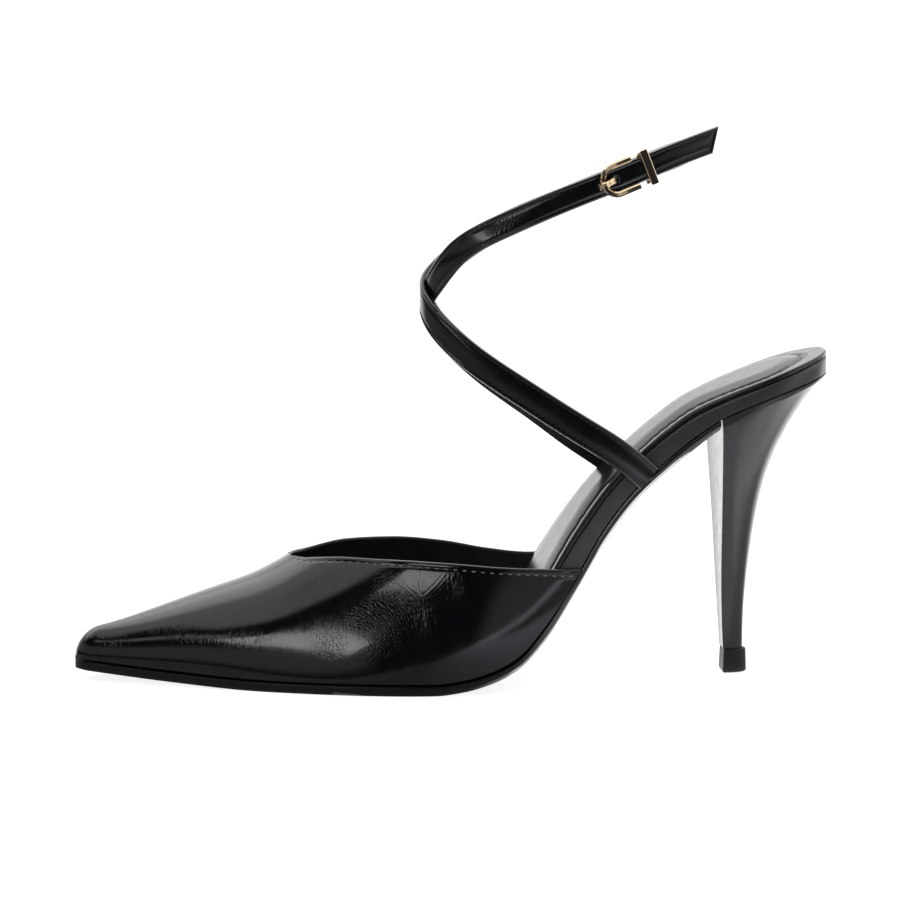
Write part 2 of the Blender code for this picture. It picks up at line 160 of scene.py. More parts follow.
BUCKLE_X = 54.2
BUCKLE_HALF_LENGTH = 9.2
BUCKLE_HALF_WIDTH = 5.5
BUCKLE_WIRE = 1.8
BUCKLE_CORNER = 4.5
KEEPER_ALONG = 7.2
KEEPER_WIDTH = 2.6
KEEPER_HALF = 5.8
KEEPER_LOW = 1.2
KEEPER_HIGH = 2.2
LINK_ACROSS = 4.6
LINK_WIDTH = 1.1
RAIL_ACROSS = 3.6
RAIL_WIDTH = 1.0
RAIL_LOW = -2.15
RAIL_HIGH = -1.35
RAIL_BEVEL = 0.1
RAIL_OVERLAP = 0.3
HINGE_ALONG = 2.1
HINGE_RADIUS = 0.55
HINGE_SIDES = 24
ARM_STEPS = 40
LINK_STEPS = 14
ARC_STEPS = 14
METAL_BEVEL = 0.42
KEEPER_BEVEL = 0.22
BEVEL_SHARE = 0.45
PRONG_WIDTH = 2.0
PRONG_STATIONS = 24
PRONG_GROOVE = 0.3
PRONG_GROOVE_FLOOR = 0.16
PRONG_BEVEL = 0.3
PRONG_FOOT = 0.2
HOLE_ALONG = -3.9
HOLE_RADIUS = 1.0
HOLE_DEPTH = 1.0

# Camera: turn, tilt and distance to the point at the middle of the picture, and lens and sensor.
CAMERA_TURN = -4.2
CAMERA_TILT = 7.5
CAMERA_DISTANCE = 1300.0
CAMERA_LENS = 162.137
CAMERA_SENSOR = 36.0
CAMERA_TARGET = (-0.354, 0.026, 73.072)

# Materials: colours, the middle of a cloudy texture, the stretch of the outsole, in metres, where it turns
# glossy, and the scale and depth of the fine wrinkles in the patent.
BLACK = (0.0018, 0.0020, 0.0028)
BLACK_WORN = (0.0030, 0.0032, 0.0042)
STRAP_BLACK = (0.0024, 0.0026, 0.0030)
STRAP_WORN = (0.0040, 0.0042, 0.0048)
WRAP = (0.024, 0.0245, 0.026)
WRAP_WORN = (0.030, 0.0305, 0.032)
GOLD = (0.90, 0.71, 0.47)
CLOUD = (0.3, 0.7)
WAIST = (0.012, 0.036)
TICK_PER_MM = (1.6, 0.5, 0.16)
CRACK_PER_MM = (0.95, 0.95, 0.8)
CRACK_EDGE = 0.12
ARC_SWAY = 2.4
TICK_DEPTH = 1.0
CRACK_DEPTH = 0.38
ARC_DEPTH = 1.3

# Stage, in metres: the floor with its glow and tone, the cards on it, where the softboxes stand and aim,
# and the room's darkest and brightest colour with the slanted edge of its ceiling.
FLOOR_SIZE = 80.0
FLOOR_LEVEL = -0.0001
FLOOR_GLOW = 0.85
FLOOR_TONE = 0.42
CARD_LEVEL = -0.00005
CARD_COLOUR = (0.96, 0.97, 1.06, 1.0)
SOFTBOX_DISTANCE = 1.1
SOFTBOX_AIM = (-0.03, -0.033, 0.02)
ROOM_DARK = (0.02, 0.02, 0.025)
ROOM_BRIGHT = (2.2, 2.2, 2.2)
CEILING_EDGE = (0.811, -0.179, 0.558)


def table(columns, *rows):
    """Short table with named columns."""
    return dict(zip(columns.split(), np.array(rows, float).T))


# Outline of the footbed seen from above.
PLAN = table(
    "station centre half_width",
    (0, 4.0, 2.5),
    (10, 3.8, 6.7),
    (25, 3.3, 13.1),
    (45, 2.4, 21.2),
    (65, 1.5, 28.2),
    (85, 0.6, 33.4),
    (104, -0.5, 35.6),
    (122, -1.6, 34.4),
    (140, -2.2, 29.6),
    (158, -1.9, 23.6),
    (176, -0.9, 19.6),
    (190, -0.3, 18.9),
    (205, 0.0, 21.0),
    (220, 0.0, 23.0),
    (242, 0.0, 23.2),
)

# Heights of the sole's layers, and how far the outsole stands out past the footbed and is bevelled.
SOLE = table(
    "station under feather bed lip bevel",
    (0, 3.2, 6.1, 8.8, 2.2, 0.7),
    (30, 1.2, 4.2, 7.2, 2.2, 0.7),
    (60, 0.0, 3.0, 6.3, 2.2, 0.7),
    (104, 0.0, 3.0, 6.6, 2.2, 0.7),
    (113, 0.0, 3.0, 7.4, 2.2, 0.8),
    (122, 0.85, 3.9, 9.4, 2.2, 1.2),
    (131, 2.85, 6.0, 13.4, 2.2, 1.8),
    (140, 6.9, 10.3, 21.2, 2.2, 2.4),
    (149, 15.3, 20.0, 34.3, 1.8, 2.9),
    (159, 29.8, 34.7, 50.2, 0.9, 3.2),
    (168.5, 45.0, 50.1, 62.8, 0.2, 3.2),
    (178.5, 57.8, 62.2, 72.8, 0.0, 3.2),
    (188, 66.7, 70.7, 81.0, 0.0, 3.2),
    (198, 75.1, 78.9, 88.0, 0.0, 3.0),
    (206, 81.3, 84.3, 91.8, 0.0, 2.6),
    (220, 87.6, 90.6, 97.4, 0.0, 2.6),
    (232, 91.8, 94.8, 101.9, 0.0, 2.6),
    (242, 94.7, 97.6, 105.2, 0.0, 2.6),
)

# Ridge line of the foot over the vamp, the cut of its topline on the outer and the inner side of the foot,
# and the swell of its sides.
VAMP = table(
    "station ridge outer_top inner_top swell",
    (0, 15.0, 15.0, 15.0, 0.0),
    (10, 17.3, 17.3, 17.3, 0.2),
    (28, 23.2, 23.2, 23.2, 0.5),
    (47, 29.9, 29.9, 29.9, 0.3),
    (57, 33.5, 33.5, 33.5, -0.2),
    (68.5, 39.6, 39.6, 39.6, -1.0),
    (76, 44.2, 41.2, 40.7, -1.4),
    (88, 51.0, 42.2, 42.3, -1.3),
    (104, 59.5, 42.1, 41.8, -0.5),
    (120, 67.0, 41.4, 39.9, 0.6),
    (135, 74.0, 40.0, 37.2, 1.1),
    (148, 80.0, 39.0, 36.0, 1.0),
    (154, 83.0, 38.5, 36.4, 0.9),
    (161, 86.0, 38.2, 38.5, 0.8),
)

# Heel block from the top piece up to the seat: breast and back of each ring.
HEEL = table(
    "front front_height back back_height half_width",
    (208.9, 7.9, 215.8, 7.9, 4.4),
    (208.2, 20.0, 216.0, 20.0, 5.3),
    (207.6, 34.0, 217.0, 33.0, 7.3),
    (207.2, 48.0, 219.0, 48.5, 10.2),
    (206.8, 60.0, 222.2, 63.5, 13.4),
    (206.4, 70.0, 227.4, 76.8, 16.8),
    (206.1, 78.0, 234.2, 88.4, 20.0),
    (205.9, 82.0, 239.4, 95.0, 22.2),
    (205.8, 84.0, 241.8, 97.3, 23.1),
)

# Rings of the top piece under the heel: height, and how far each stands out of the piece's outline.
TIP_RINGS = table(
    "level grow",
    (0.0, -0.4),
    (0.12, -0.18),
    (0.4, 0.0),
    (3.0, -0.05),
    (6.9, -0.2),
    (7.4, -0.28),
    (7.6, -0.5),
)

# Centre line of the strap from the outer side: up to the front, round the far side and the back, and along
# the inside of the other strap to the hinge bar.
OUTER_STRAP = table(
    "x y z width",
    (61.4, -21.0, 66.0, 9.0),
    (54.7, -22.1, 71.9, 9.0),
    (39.3, -21.9, 82.1, 9.0),
    (20.4, -19.3, 94.2, 8.9),
    (2.0, -14.5, 107.2, 8.8),
    (-7.3, -7.5, 117.4, 8.6),
    (-9.0, 0.0, 123.6, 8.2),
    (-4.2, 8.0, 129.4, 8.0),
    (10.5, 15.5, 139.8, 7.9),
    (38.0, 17.0, 152.2, 7.8),
    (62.0, 13.5, 161.9, 7.6),
    (74.5, 5.5, 167.2, 7.5),
    (76.0, -4.5, 169.4, 7.2),
    (69.0, -13.2, 168.2, 7.2),
    (58.8, -16.4, 164.1, 7.6),
)

# Centre line of the strap from the inner side: up to the front inside the other one, and along the outer
# side through the buckle to its tip.
INNER_STRAP = table(
    "x y z width",
    (57.8, 19.9, 63.2, 9.0),
    (51.5, 20.5, 68.0, 9.0),
    (43.7, 20.3, 73.3, 9.0),
    (28.9, 19.8, 84.3, 9.0),
    (14.0, 17.4, 95.1, 8.9),
    (1.5, 12.0, 106.3, 8.8),
    (-5.4, 5.5, 115.0, 8.7),
    (-7.4, -0.5, 122.2, 8.5),
    (-5.0, -6.5, 128.6, 8.4),
    (1.9, -13.4, 138.2, 8.3),
    (15.7, -17.6, 146.4, 8.1),
    (34.4, -19.4, 154.5, 7.9),
    (53.4, -19.0, 161.8, 7.6),
    (67.0, -17.0, 167.2, 7.7),
    (83.0, -12.0, 172.7, 7.8),
)

# Buckle in the strap's own directions: lower and upper side of the horseshoe's metal, and of the two links
# that carry the keeper.
BUCKLE_DEPTH = table(
    "along low high",
    (-9.2, 1.2, 2.6),
    (-6.5, 1.0, 2.4),
    (-2.0, -0.6, 1.7),
    (2.7, -2.2, 1.6),
)
LINK_DEPTH = table(
    "along low high",
    (4.9, -2.2, 0.6),
    (5.6, -1.6, 0.6),
    (6.2, -1.0, 1.22),
    (7.8, -0.6, 1.22),
)

# Prong from the strap hole over the front of the frame.
PRONG = table(
    "along low high",
    (-4.4, 1.25, 2.0),
    (-5.8, 1.45, 2.5),
    (-7.2, 2.9, 3.7),
    (-8.4, 3.0, 3.9),
    (-9.6, 2.6, 3.4),
    (-10.2, 1.9, 2.5),
)

# Main creases of the vamp's side, each a soft trough from a low to a high point that bows along the shoe.
VAMP_CREASES = table(
    "low_station low_height high_station high_height bow depth width",
    (109.6, 31.4, 116.6, 38.6, 0.3, 0.022, 0.28),
    (110.6, 30.8, 117.8, 38.2, 0.5, 0.018, 0.28),
    (111.8, 30.6, 118.6, 37.2, 0.2, 0.012, 0.28),
    (108.4, 31.0, 102.6, 36.2, -0.4, 0.018, 0.28),
    (108.9, 31.6, 107.0, 38.6, 0.1, 0.010, 0.30),
    (109.0, 31.6, 109.4, 39.0, 0.2, 0.014, 0.30),
    (109.2, 31.6, 112.2, 38.8, -0.2, 0.010, 0.30),
    (109.9, 22.0, 108.7, 30.8, 0.3, 0.045, 0.28),
    (111.7, 13.5, 109.9, 22.2, 0.3, 0.030, 0.28),
    (112.6, 15.0, 111.0, 26.0, -0.3, 0.022, 0.28),
    (118.0, 33.0, 118.6, 38.4, 0.2, 0.025, 0.28),
    (119.8, 32.0, 119.6, 38.2, -0.2, 0.025, 0.28),
    (121.2, 31.5, 121.4, 38.0, 0.2, 0.020, 0.28),
    (77.0, 15.9, 81.0, 16.2, 0.0, 0.025, 0.26),
    (81.0, 16.2, 83.0, 18.4, 0.3, 0.025, 0.26),
    (92.0, 11.2, 94.6, 13.4, 0.3, 0.035, 0.28),
)

# Where the fine wrinkles of the vamp show most: upright ticks, a net of cracks, and nested arcs.
VAMP_TICKS = table(
    "station height along up amount",
    (12.0, 13.2, 4.0, 1.8, 0.8),
    (34.0, 16.6, 7.0, 1.8, 1.0),
    (53.0, 17.0, 6.5, 2.0, 1.0),
    (110.5, 24.0, 3.0, 7.0, 1.0),
    (120.0, 34.5, 3.0, 4.5, 1.0),
)
VAMP_CRACKLE = table(
    "station height along up amount",
    (80.5, 16.5, 4.5, 4.2, 1.0),
    (98.0, 36.0, 4.5, 3.0, 0.7),
    (105.5, 29.5, 4.0, 3.0, 0.7),
)
VAMP_ARCS = table(
    "station height along up amount",
    (96.5, 21.5, 5.0, 6.5, 1.0),
    (103.0, 28.0, 5.0, 4.5, 0.9),
    (91.0, 24.5, 4.0, 2.5, 0.5),
)
ARC_STATION = 86.0
ARC_HEIGHT = 14.0
ARC_PITCH = 1.05

# Fine cross creases of the inner strap above the crossing: where, how far they slant, and their size.
STRAP_CREASES = table(
    "x slant depth width",
    (13.4, 0.9, 0.020, 0.30),
    (14.5, 1.0, 0.045, 0.30),
    (15.5, 0.9, 0.060, 0.30),
    (16.4, 1.0, 0.060, 0.28),
    (17.4, 0.9, 0.055, 0.30),
    (18.5, 1.0, 0.045, 0.30),
    (19.7, 0.9, 0.020, 0.30),
    (21.0, 1.0, 0.015, 0.30),
)

# How far the inner strap leans back above the crossing, in degrees.
STRAP_TWIST = table(
    "x lean",
    (-3.0, 0.0),
    (3.0, 10.0),
    (9.0, 15.5),
    (14.0, 14.5),
    (20.0, 12.0),
    (30.0, 5.0),
    (42.0, 0.0),
)

# Softboxes: turn 0 is towards -Y and positive turns towards +X, tilt is above the floor, roll is about the
# line to the shoe, sizes are in metres and radiance is the brightness of the surface.
SOFTBOXES = table(
    "turn tilt roll width height radiance",
    (-36.4, 23.0, -42.0, 0.55, 0.105, 4.2),
    (-56.5, 34.2, -12.0, 0.34, 0.09, 1.0),
    (-24.0, 37.4, -29.0, 0.44, 0.125, 3.3),
)

# Cards on the floor that only gloss mirrors: sides in metres, and glow at both ends.
CARDS = table(
    "left right front back glow_left glow_right",
    (-0.04, 0.13, -0.42, -0.035, 0.20, 0.95),
    (0.13, 0.60, -0.42, -0.25, 1.50, 1.50),
    (0.20, 0.60, -0.25, -0.035, 0.45, 0.45),
    (-0.65, -0.04, -0.60, 0.05, 0.28, 0.28),
)

# Bright parts of the room, each a product of ramps: the axis of a ramp, where it starts and ends, and its
# value at both. The brightest part shows.
ROOM_PARTS = {
    "ceiling": (
        ("edge", -0.055, -0.010, 0.0, 1.0),
        ("y", -0.45, -0.36, 0.0, 1.0),
        ("z", 0.60, 0.68, 0.0, 0.48),
    ),
    "ceiling behind": (("y", -0.12, 0.0, 0.0, 1.0), ("z", 0.60, 0.68, 0.0, 0.48)),
    "wall behind": (("y", 0.40, 0.80, 0.0, 0.85), ("z", -0.08, 0.0, 1.0, 0.7)),
    "high behind": (("y", 0.05, 0.40, 0.0, 1.0), ("z", 0.30, 0.65, 0.0, 1.0)),
    "near right": (("x", 0.28, 0.48, 0.0, 0.15), ("z", -0.10, -0.02, 0.0, 1.0)),
    "far right": (("x", 0.50, 0.80, 0.0, 0.50), ("z", -0.10, -0.02, 0.30, 1.0)),
    "ground": (("z", -0.35, -0.65, 0.0, 0.95),),
    "left": (("x", -0.31, -0.40, 0.0, 0.16), ("z", 0.0, 0.12, 0.0, 1.0), ("z", 0.30, 0.45, 1.0, 0.0)),
    "low left": (("x", -0.25, -0.58, 0.0, 0.15), ("z", -0.02, -0.08, 0.0, 1.0)),
}


def spline(at, xs, ys):
    """Natural cubic curve through the points of a table."""
    step = np.diff(xs)
    count = len(xs)
    left = np.eye(count)
    right = np.zeros(count)
    slope = np.diff(ys) / step
    for k in range(1, count - 1):
        left[k, k - 1:k + 2] = step[k - 1], 2 * (step[k - 1] + step[k]), step[k]
        right[k] = 6 * (slope[k] - slope[k - 1])
    bend = np.linalg.solve(left, right)
    at = np.clip(at, xs[0], xs[-1])
    k = np.clip(np.searchsorted(xs, at) - 1, 0, count - 2)
    a = xs[k + 1] - at
    b = at - xs[k]
    h = step[k]
    curve = (bend[k] * a**3 + bend[k + 1] * b**3) / (6 * h)
    return curve + (ys[k] / h - bend[k] * h / 6) * a + (ys[k + 1] / h - bend[k + 1] * h / 6) * b


def steady(at, xs, ys):
    """Smooth curve through the points of a table that never overshoots, so that flat stretches stay flat."""
    step = np.diff(xs)
    slope = np.diff(ys) / step
    before = slope[:-1]
    after = slope[1:]
    same_way = before * after > 0
    weight_before = 2 * step[1:] + step[:-1]
    weight_after = step[1:] + 2 * step[:-1]
    safe_before = np.where(same_way, before, 1.0)
    safe_after = np.where(same_way, after, 1.0)
    mean = (weight_before + weight_after) / (weight_before / safe_before + weight_after / safe_after)
    tangent = np.concatenate([slope[:1], np.where(same_way, mean, 0.0), slope[-1:]])
    at = np.clip(at, xs[0], xs[-1])
    k = np.clip(np.searchsorted(xs, at) - 1, 0, len(xs) - 2)
    t = (at - xs[k]) / step[k]
    value = ys[k] * (1 + 2 * t) * (1 - t) ** 2 + ys[k + 1] * t**2 * (3 - 2 * t)
    return value + step[k] * (tangent[k] * t * (1 - t) ** 2 - tangent[k + 1] * t**2 * (1 - t))


def ease(value):
    """Smooth step from 0 to 1."""
    value = np.clip(value, 0.0, 1.0)
    return value * value * (3 - 2 * value)


def bell(distance):
    return np.exp(-distance**2)


def unit(vectors):
    return vectors / np.linalg.norm(vectors, axis=-1, keepdims=True)


def xyz(x, y, z):
    return np.stack(np.broadcast_arrays(x, y, z), axis=-1)


def distance_along(line):
    """Distance along a line of points, at each of them."""
    return np.concatenate([[0.0], np.cumsum(np.linalg.norm(np.diff(line, axis=0), axis=1))])


def round_end(distance, radius):
    """Share of the full size at a distance from an end that is rounded over a radius."""
    gone = 1 - np.clip(distance / radius, 0, 1)
    return np.sqrt(1 - gone**2)


def trough(off):
    """Section of a crease with its raised lip; off is the distance from its line, in widths."""
    return LIP_HEIGHT * bell((off - LIP_AWAY) / LIP_WIDTH) - bell(off)


def between_rows(rows, count):
    """Columns of a table along a smooth curve through its rows."""
    row = np.arange(len(next(iter(rows.values()))), dtype=float)
    at = np.linspace(0, row[-1], count)
    return {name: spline(at, row, values) for name, values in rows.items()}


def along_x(station):
    return np.asarray(station, float) - LENGTH / 2


def sole(column, station):
    return steady(station, SOLE["station"], SOLE[column])


def centre(station):
    return spline(station, PLAN["station"], PLAN["centre"]) + CENTRE_SHIFT


def half_width(station, start, margin):
    """Half the width of the outline at a station, round at the toe, which begins at start, and the heel."""
    width = spline(station, PLAN["station"], PLAN["half_width"]) + margin
    return width * round_end(station - start, TOE_ROUND) * round_end(LENGTH - station, HEEL_ROUND)


def bed(station):
    """Top of the footbed, rounded off at the heel back."""
    return sole("bed", station) - HEEL_BROW * (1 - round_end(LENGTH - station, HEEL_BROW))


def rise_over(station, gap):
    """Height that keeps a gap square to the slope of the footbed."""
    step = 0.5
    slope = (sole("feather", station + step) - sole("feather", station - step)) / (2 * step)
    return gap * np.sqrt(1 + slope**2)


def feather_edge(station):
    """Height at which the vamp and the insole stand on the outsole."""
    return sole("feather", station) + rise_over(station, FIT)


def spaced(start, end, step):
    """Stations from start to end, closer together towards the round toe."""
    near_toe = start + TOE_RUN * np.linspace(0, 1, TOE_STATIONS) ** TOE_CROWDING
    rest = np.linspace(near_toe[-1], end, round((end - near_toe[-1]) / step) + 1)
    return np.concatenate([near_toe, rest[1:]])


def bed_stations(start):
    """Stations of the footbed, also closer together round the heel back."""
    turn = np.linspace(0, np.pi / 2 - HEEL_GAP, HEEL_STATIONS)
    heel = LENGTH - HEEL_ROUND * (1 - np.sin(turn))
    return np.concatenate([spaced(start + TIP_START, LENGTH - HEEL_ROUND, BED_STEP)[:-1], heel])


def new_object(name, data):
    made = bpy.data.objects.new(name, data)
    bpy.context.scene.collection.objects.link(made)
    return made


def weld(name, patches, looks, sharp=40.0):
    """One object from grids of points that share their edges.

    A patch is a grid of points, the number of its material and a dictionary of its named marks.
    """
    points, faces, look_of = [], [], []
    names = sorted({key for _, _, marks in patches for key in marks})
    values = {key: [] for key in names}
    first = 0
    for grid, look, marks in patches:
        grid = np.asarray(grid, float)
        rows, columns = grid.shape[:2]
        index = first + np.arange(rows * columns).reshape(rows, columns)
        first += rows * columns
        points.append(grid.reshape(-1, 3))
        for key in names:
            values[key].append(np.broadcast_to(marks.get(key, 0.0), (rows, columns)).reshape(-1))
        if rows == 1:
            made = [index[0].tolist()]
        else:
            corners = (index[:-1, :-1], index[1:, :-1], index[1:, 1:], index[:-1, 1:])
            made = np.stack(corners, axis=-1).reshape(-1, 4).tolist()
        faces += made
        look_of += [look] * len(made)
    data = bpy.data.meshes.new(name)
    data.from_pydata(np.concatenate(points) * MM, [], faces)
    data.polygons.foreach_set("material_index", look_of)
    for key in names:
        data.attributes.new(key, "FLOAT", "POINT").data.foreach_set("value", np.concatenate(values[key]))
    mesh = bmesh.new()
    mesh.from_mesh(data)
    bmesh.ops.remove_doubles(mesh, verts=mesh.verts, dist=WELD_GAP * MM)
    bmesh.ops.recalc_face_normals(mesh, faces=mesh.faces)
    mesh.to_mesh(data)
    mesh.free()
    data.shade_smooth()
    data.set_sharp_from_angle(angle=np.radians(sharp))
    for look in looks:
        data.materials.append(LOOKS[look])
    return new_object(name, data)


def tube(rings, look=0):
    """Patches of a closed tube through rings of points, with a face at each end."""
    rings = np.asarray(rings, float)
    closed = np.concatenate([rings, rings[:, :1]], axis=1)
    return [(closed, look, {}), (rings[:1], look, {}), (rings[-1:], look, {})]


def finish_piece(piece, slot, *nodes):
    """Ties a piece to the shoe's body and hides the solids that it stands for; slot is not used."""
    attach(piece, "root")
    if nodes:
        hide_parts(*nodes)
    return piece


def put(value, socket):
    """Sets a node's input to a value, or links another node's output to it."""
    if isinstance(value, bpy.types.NodeSocket):
        socket.id_data.links.new(value, socket)
    else:
        socket.default_value = value


def connect(node, **inputs):
    """Fills a node's inputs; an underscore stands for the space in an input's name."""
    for key, value in inputs.items():
        put(value, node.inputs[key.replace("_", " ")])


def add(tree, kind, settings=None, **inputs):
    """New shader node with its settings and inputs."""
    made = tree.nodes.new("ShaderNode" + kind)
    for key, value in (settings or {}).items():
        setattr(made, key, value)
    connect(made, **inputs)
    return made


def calculate(tree, kind, operation, *values):
    """Math or VectorMath node on values and other nodes' outputs."""
    made = add(tree, kind, {"operation": operation})
    for value, socket in zip(values, made.inputs):
        put(value, socket)
    return made


def maths(tree, operation, *values):
    return calculate(tree, "Math", operation, *values).outputs[0]


def times(tree, first, *others):
    for other in others:
        first = maths(tree, "MULTIPLY", first, other)
    return first


def place_on_shoe(tree):
    return add(tree, "TexCoord").outputs["Object"]


def along_shoe(tree):
    return add(tree, "SeparateXYZ", Vector=place_on_shoe(tree)).outputs["X"]


def scaled(tree, per_mm):
    """Place on the shoe, with so many texture units to a millimetre in all or in each of the directions."""
    scale = tuple(np.broadcast_to(per_mm, 3) / MM)
    return add(tree, "Mapping", Vector=place_on_shoe(tree), Scale=scale).outputs["Vector"]


def noise(tree, per_mm, detail=2.0, distortion=0.0):
    where = scaled(tree, per_mm)
    made = add(tree, "TexNoise", Vector=where, Scale=1.0, Detail=detail, Distortion=distortion)
    return made.outputs["Fac"]


def remap(tree, value, low, high, new_low, new_high):
    """Smooth ramp between two values."""
    made = add(tree, "MapRange", {"interpolation_type": "SMOOTHSTEP"}, Value=value)
    connect(made, From_Min=low, From_Max=high, To_Min=new_low, To_Max=new_high)
    return made.outputs["Result"]


def blend(tree, share, dark, light):
    mixed = add(tree, "Mix", {"data_type": "RGBA"}, Factor=share)
    mixed.inputs[6].default_value = (*dark, 1.0)
    mixed.inputs[7].default_value = (*light, 1.0)
    return mixed.outputs[2]


def bump(tree, height, depth, before=None):
    made = add(tree, "Bump", Height=height, Strength=1.0, Distance=depth * MM)
    if before is not None:
        connect(made, Normal=before)
    return made.outputs["Normal"]


def marked(tree, name):
    return add(tree, "Attribute", {"attribute_name": name}).outputs["Fac"]


def principled(name, colour, roughness, metallic=0.0, coat=0.0, coat_roughness=0.1, gloss=0.5):
    look = bpy.data.materials.new(name)
    look.use_nodes = True
    shader = look.node_tree.nodes["Principled BSDF"]
    connect(shader, Base_Color=(*colour, 1.0), Roughness=roughness, Metallic=metallic)
    connect(shader, Coat_Weight=coat, Coat_Roughness=coat_roughness, Specular_IOR_Level=gloss)
    return look, look.node_tree, shader


def vary_roughness(tree, shader, per_mm, low, high):
    connect(shader, Roughness=remap(tree, noise(tree, per_mm, 3.0), *CLOUD, low, high))


def vary_colour(tree, shader, per_mm, dark, light):
    share = remap(tree, noise(tree, per_mm, 4.0), *CLOUD, 0.0, 1.0)
    connect(shader, Base_Color=blend(tree, share, dark, light))


def nested_arcs(tree):
    """Thin wavy lines round a point, from the turns that the mesh is marked with."""
    turns = maths(tree, "MULTIPLY_ADD", noise(tree, 0.45), ARC_SWAY, marked(tree, "arc_turns"))
    wave = maths(tree, "SINE", times(tree, turns, 2 * np.pi))
    lines = remap(tree, wave, 0.45, 1.0, 0.0, 1.0)
    broken = remap(tree, noise(tree, 0.8), 0.38, 0.6, 0.25, 1.0)
    return times(tree, lines, broken, marked(tree, "arcs"))


def cracks(tree):
    """Fine net of cracks where the mesh is marked for it."""
    place = calculate(tree, "VectorMath", "ADD", scaled(tree, CRACK_PER_MM), noise(tree, 0.7))
    edge = {"feature": "DISTANCE_TO_EDGE"}
    cells = add(tree, "TexVoronoi", edge, Vector=place.outputs["Vector"], Scale=1.0)
    net = remap(tree, cells.outputs["Distance"], 0.0, CRACK_EDGE, 0.0, 1.0)
    return times(tree, net, marked(tree, "crackle"))


def patent(name, dark, light, roughness, wrinkle, grain, gloss=0.5, coat=0.2):
    """Glossy leather: fine grain, and wrinkles where the mesh is marked for them."""
    look, tree, shader = principled(name, dark, roughness, coat=coat, coat_roughness=0.05, gloss=gloss)
    vary_colour(tree, shader, 0.12, dark, light)
    vary_roughness(tree, shader, 0.35, roughness - 0.02, roughness + 0.02)
    normal = bump(tree, noise(tree, 1.6), grain)
    lines = remap(tree, noise(tree, TICK_PER_MM, 1.0, 0.6), 0.42, 0.58, 0.0, 1.0)
    normal = bump(tree, times(tree, lines, marked(tree, "ticks")), TICK_DEPTH * wrinkle, normal)
    normal = bump(tree, cracks(tree), CRACK_DEPTH * wrinkle, normal)
    normal = bump(tree, nested_arcs(tree), ARC_DEPTH * wrinkle, normal)
    connect(shader, Normal=normal)
    return look


def plain_leather(name, dark, light, roughness, grain, per_mm, gloss=0.5):
    look, tree, shader = principled(name, dark, roughness, gloss=gloss)
    vary_colour(tree, shader, 0.15, dark, light)
    vary_roughness(tree, shader, 0.25, roughness - 0.03, roughness + 0.03)
    connect(shader, Normal=bump(tree, noise(tree, per_mm, 3.0), grain))
    return look


def outsole_look():
    """Satin black edge that turns glossy in the waist."""
    look, tree, shader = principled("outsole", grey(0.005), 0.34)
    x = along_shoe(tree)
    connect(shader, Specular_IOR_Level=remap(tree, x, *WAIST, 0.25, 1.0))
    connect(shader, Roughness=remap(tree, x, *WAIST, 0.34, 0.16))
    connect(shader, Normal=bump(tree, noise(tree, 1.4, 3.0), 0.003))
    return look


def gold_look():
    look, tree, shader = principled("pale gold", GOLD, 0.08, 1.0)
    vary_roughness(tree, shader, 0.8, 0.05, 0.12)
    connect(shader, Normal=bump(tree, noise(tree, (3.0, 1.5, 3.0)), 0.0015))
    return look


def grey(level, blue=0.0):
    """Grey with a little more blue."""
    return level, level, level + blue


LOOKS = {
    "vamp": patent("crinkled patent", BLACK, BLACK_WORN, 0.10, 0.05, 0.002),
    "strap": patent("strap patent", STRAP_BLACK, STRAP_WORN, 0.16, 0.03, 0.004, 0.42, 0.2),
    "strap_edge": patent("strap edge", STRAP_BLACK, STRAP_WORN, 0.12, 0.0, 0.001, 1.0, 0.8),
    "lining": plain_leather("lining", grey(0.018), grey(0.028), 0.55, 0.02, 2.0, 0.4),
    "strap_lining": plain_leather("strap lining", grey(0.004), grey(0.010), 0.35, 0.06, 1.6),
    "insole_wrap": plain_leather("wrapped edge", WRAP, WRAP_WORN, 0.32, 0.004, 1.6),
    "sock": plain_leather("padded sock", grey(0.008, 0.001), grey(0.011, 0.001), 0.20, 0.002, 1.2),
    "heel": plain_leather("heel cover", grey(0.022, 0.0015), grey(0.026, 0.0015), 0.22, 0.001, 1.0),
    "outsole": outsole_look(),
    "tip": plain_leather("top piece", grey(0.010, 0.0005), grey(0.014, 0.0005), 0.5, 0.012, 2.4, 0.25),
    # The vamp's thread is black: its light grey here is a painted highlight, so that each stitch shows as a
    # light speck.
    "thread": plain_leather("thread", grey(0.09, 0.002), grey(0.13, 0.002), 0.34, 0.02, 6.0),
    "strap_thread": plain_leather("strap thread", grey(0.008, 0.001), grey(0.014, 0.001), 0.34, 0.02, 6.0),
    "gold": gold_look(),
}


def spots(station, height, rows):
    """Sum of soft round areas on the side of the vamp."""
    total = np.zeros(np.broadcast(station, height).shape)
    for at, level, along, up, amount in zip(*rows.values()):
        total += amount * np.exp(-((station - at) / along) ** 2 - ((height - level) / up) ** 2)
    return total


def vamp_creases(station, height):
    """Soft troughs with raised lips along the crease lines."""
    total = np.zeros(np.broadcast(station, height).shape)
    for s0, z0, s1, z1, bow, depth, width in zip(*VAMP_CREASES.values()):
        run = (s1 - s0) ** 2 + (z1 - z0) ** 2
        t = np.clip(((station - s0) * (s1 - s0) + (height - z0) * (z1 - z0)) / run, 0, 1)
        line_station = s0 + t * (s1 - s0) + bow * 4 * t * (1 - t)
        off = np.hypot(station - line_station, height - z0 - t * (z1 - z0)) / width
        fade = np.sin(np.pi * (0.1 + 0.8 * t))
        total += depth * fade * trough(off)
    return total


def ridge(station, inset):
    """Height of the vamp's ridge at a depth inside its outer face, with the round nose of the toe."""
    drop = (NOSE_DROP - inset) * (1 - round_end(station - inset, NOSE_LENGTH))
    return spline(station, VAMP["station"], VAMP["ridge"]) - inset - drop


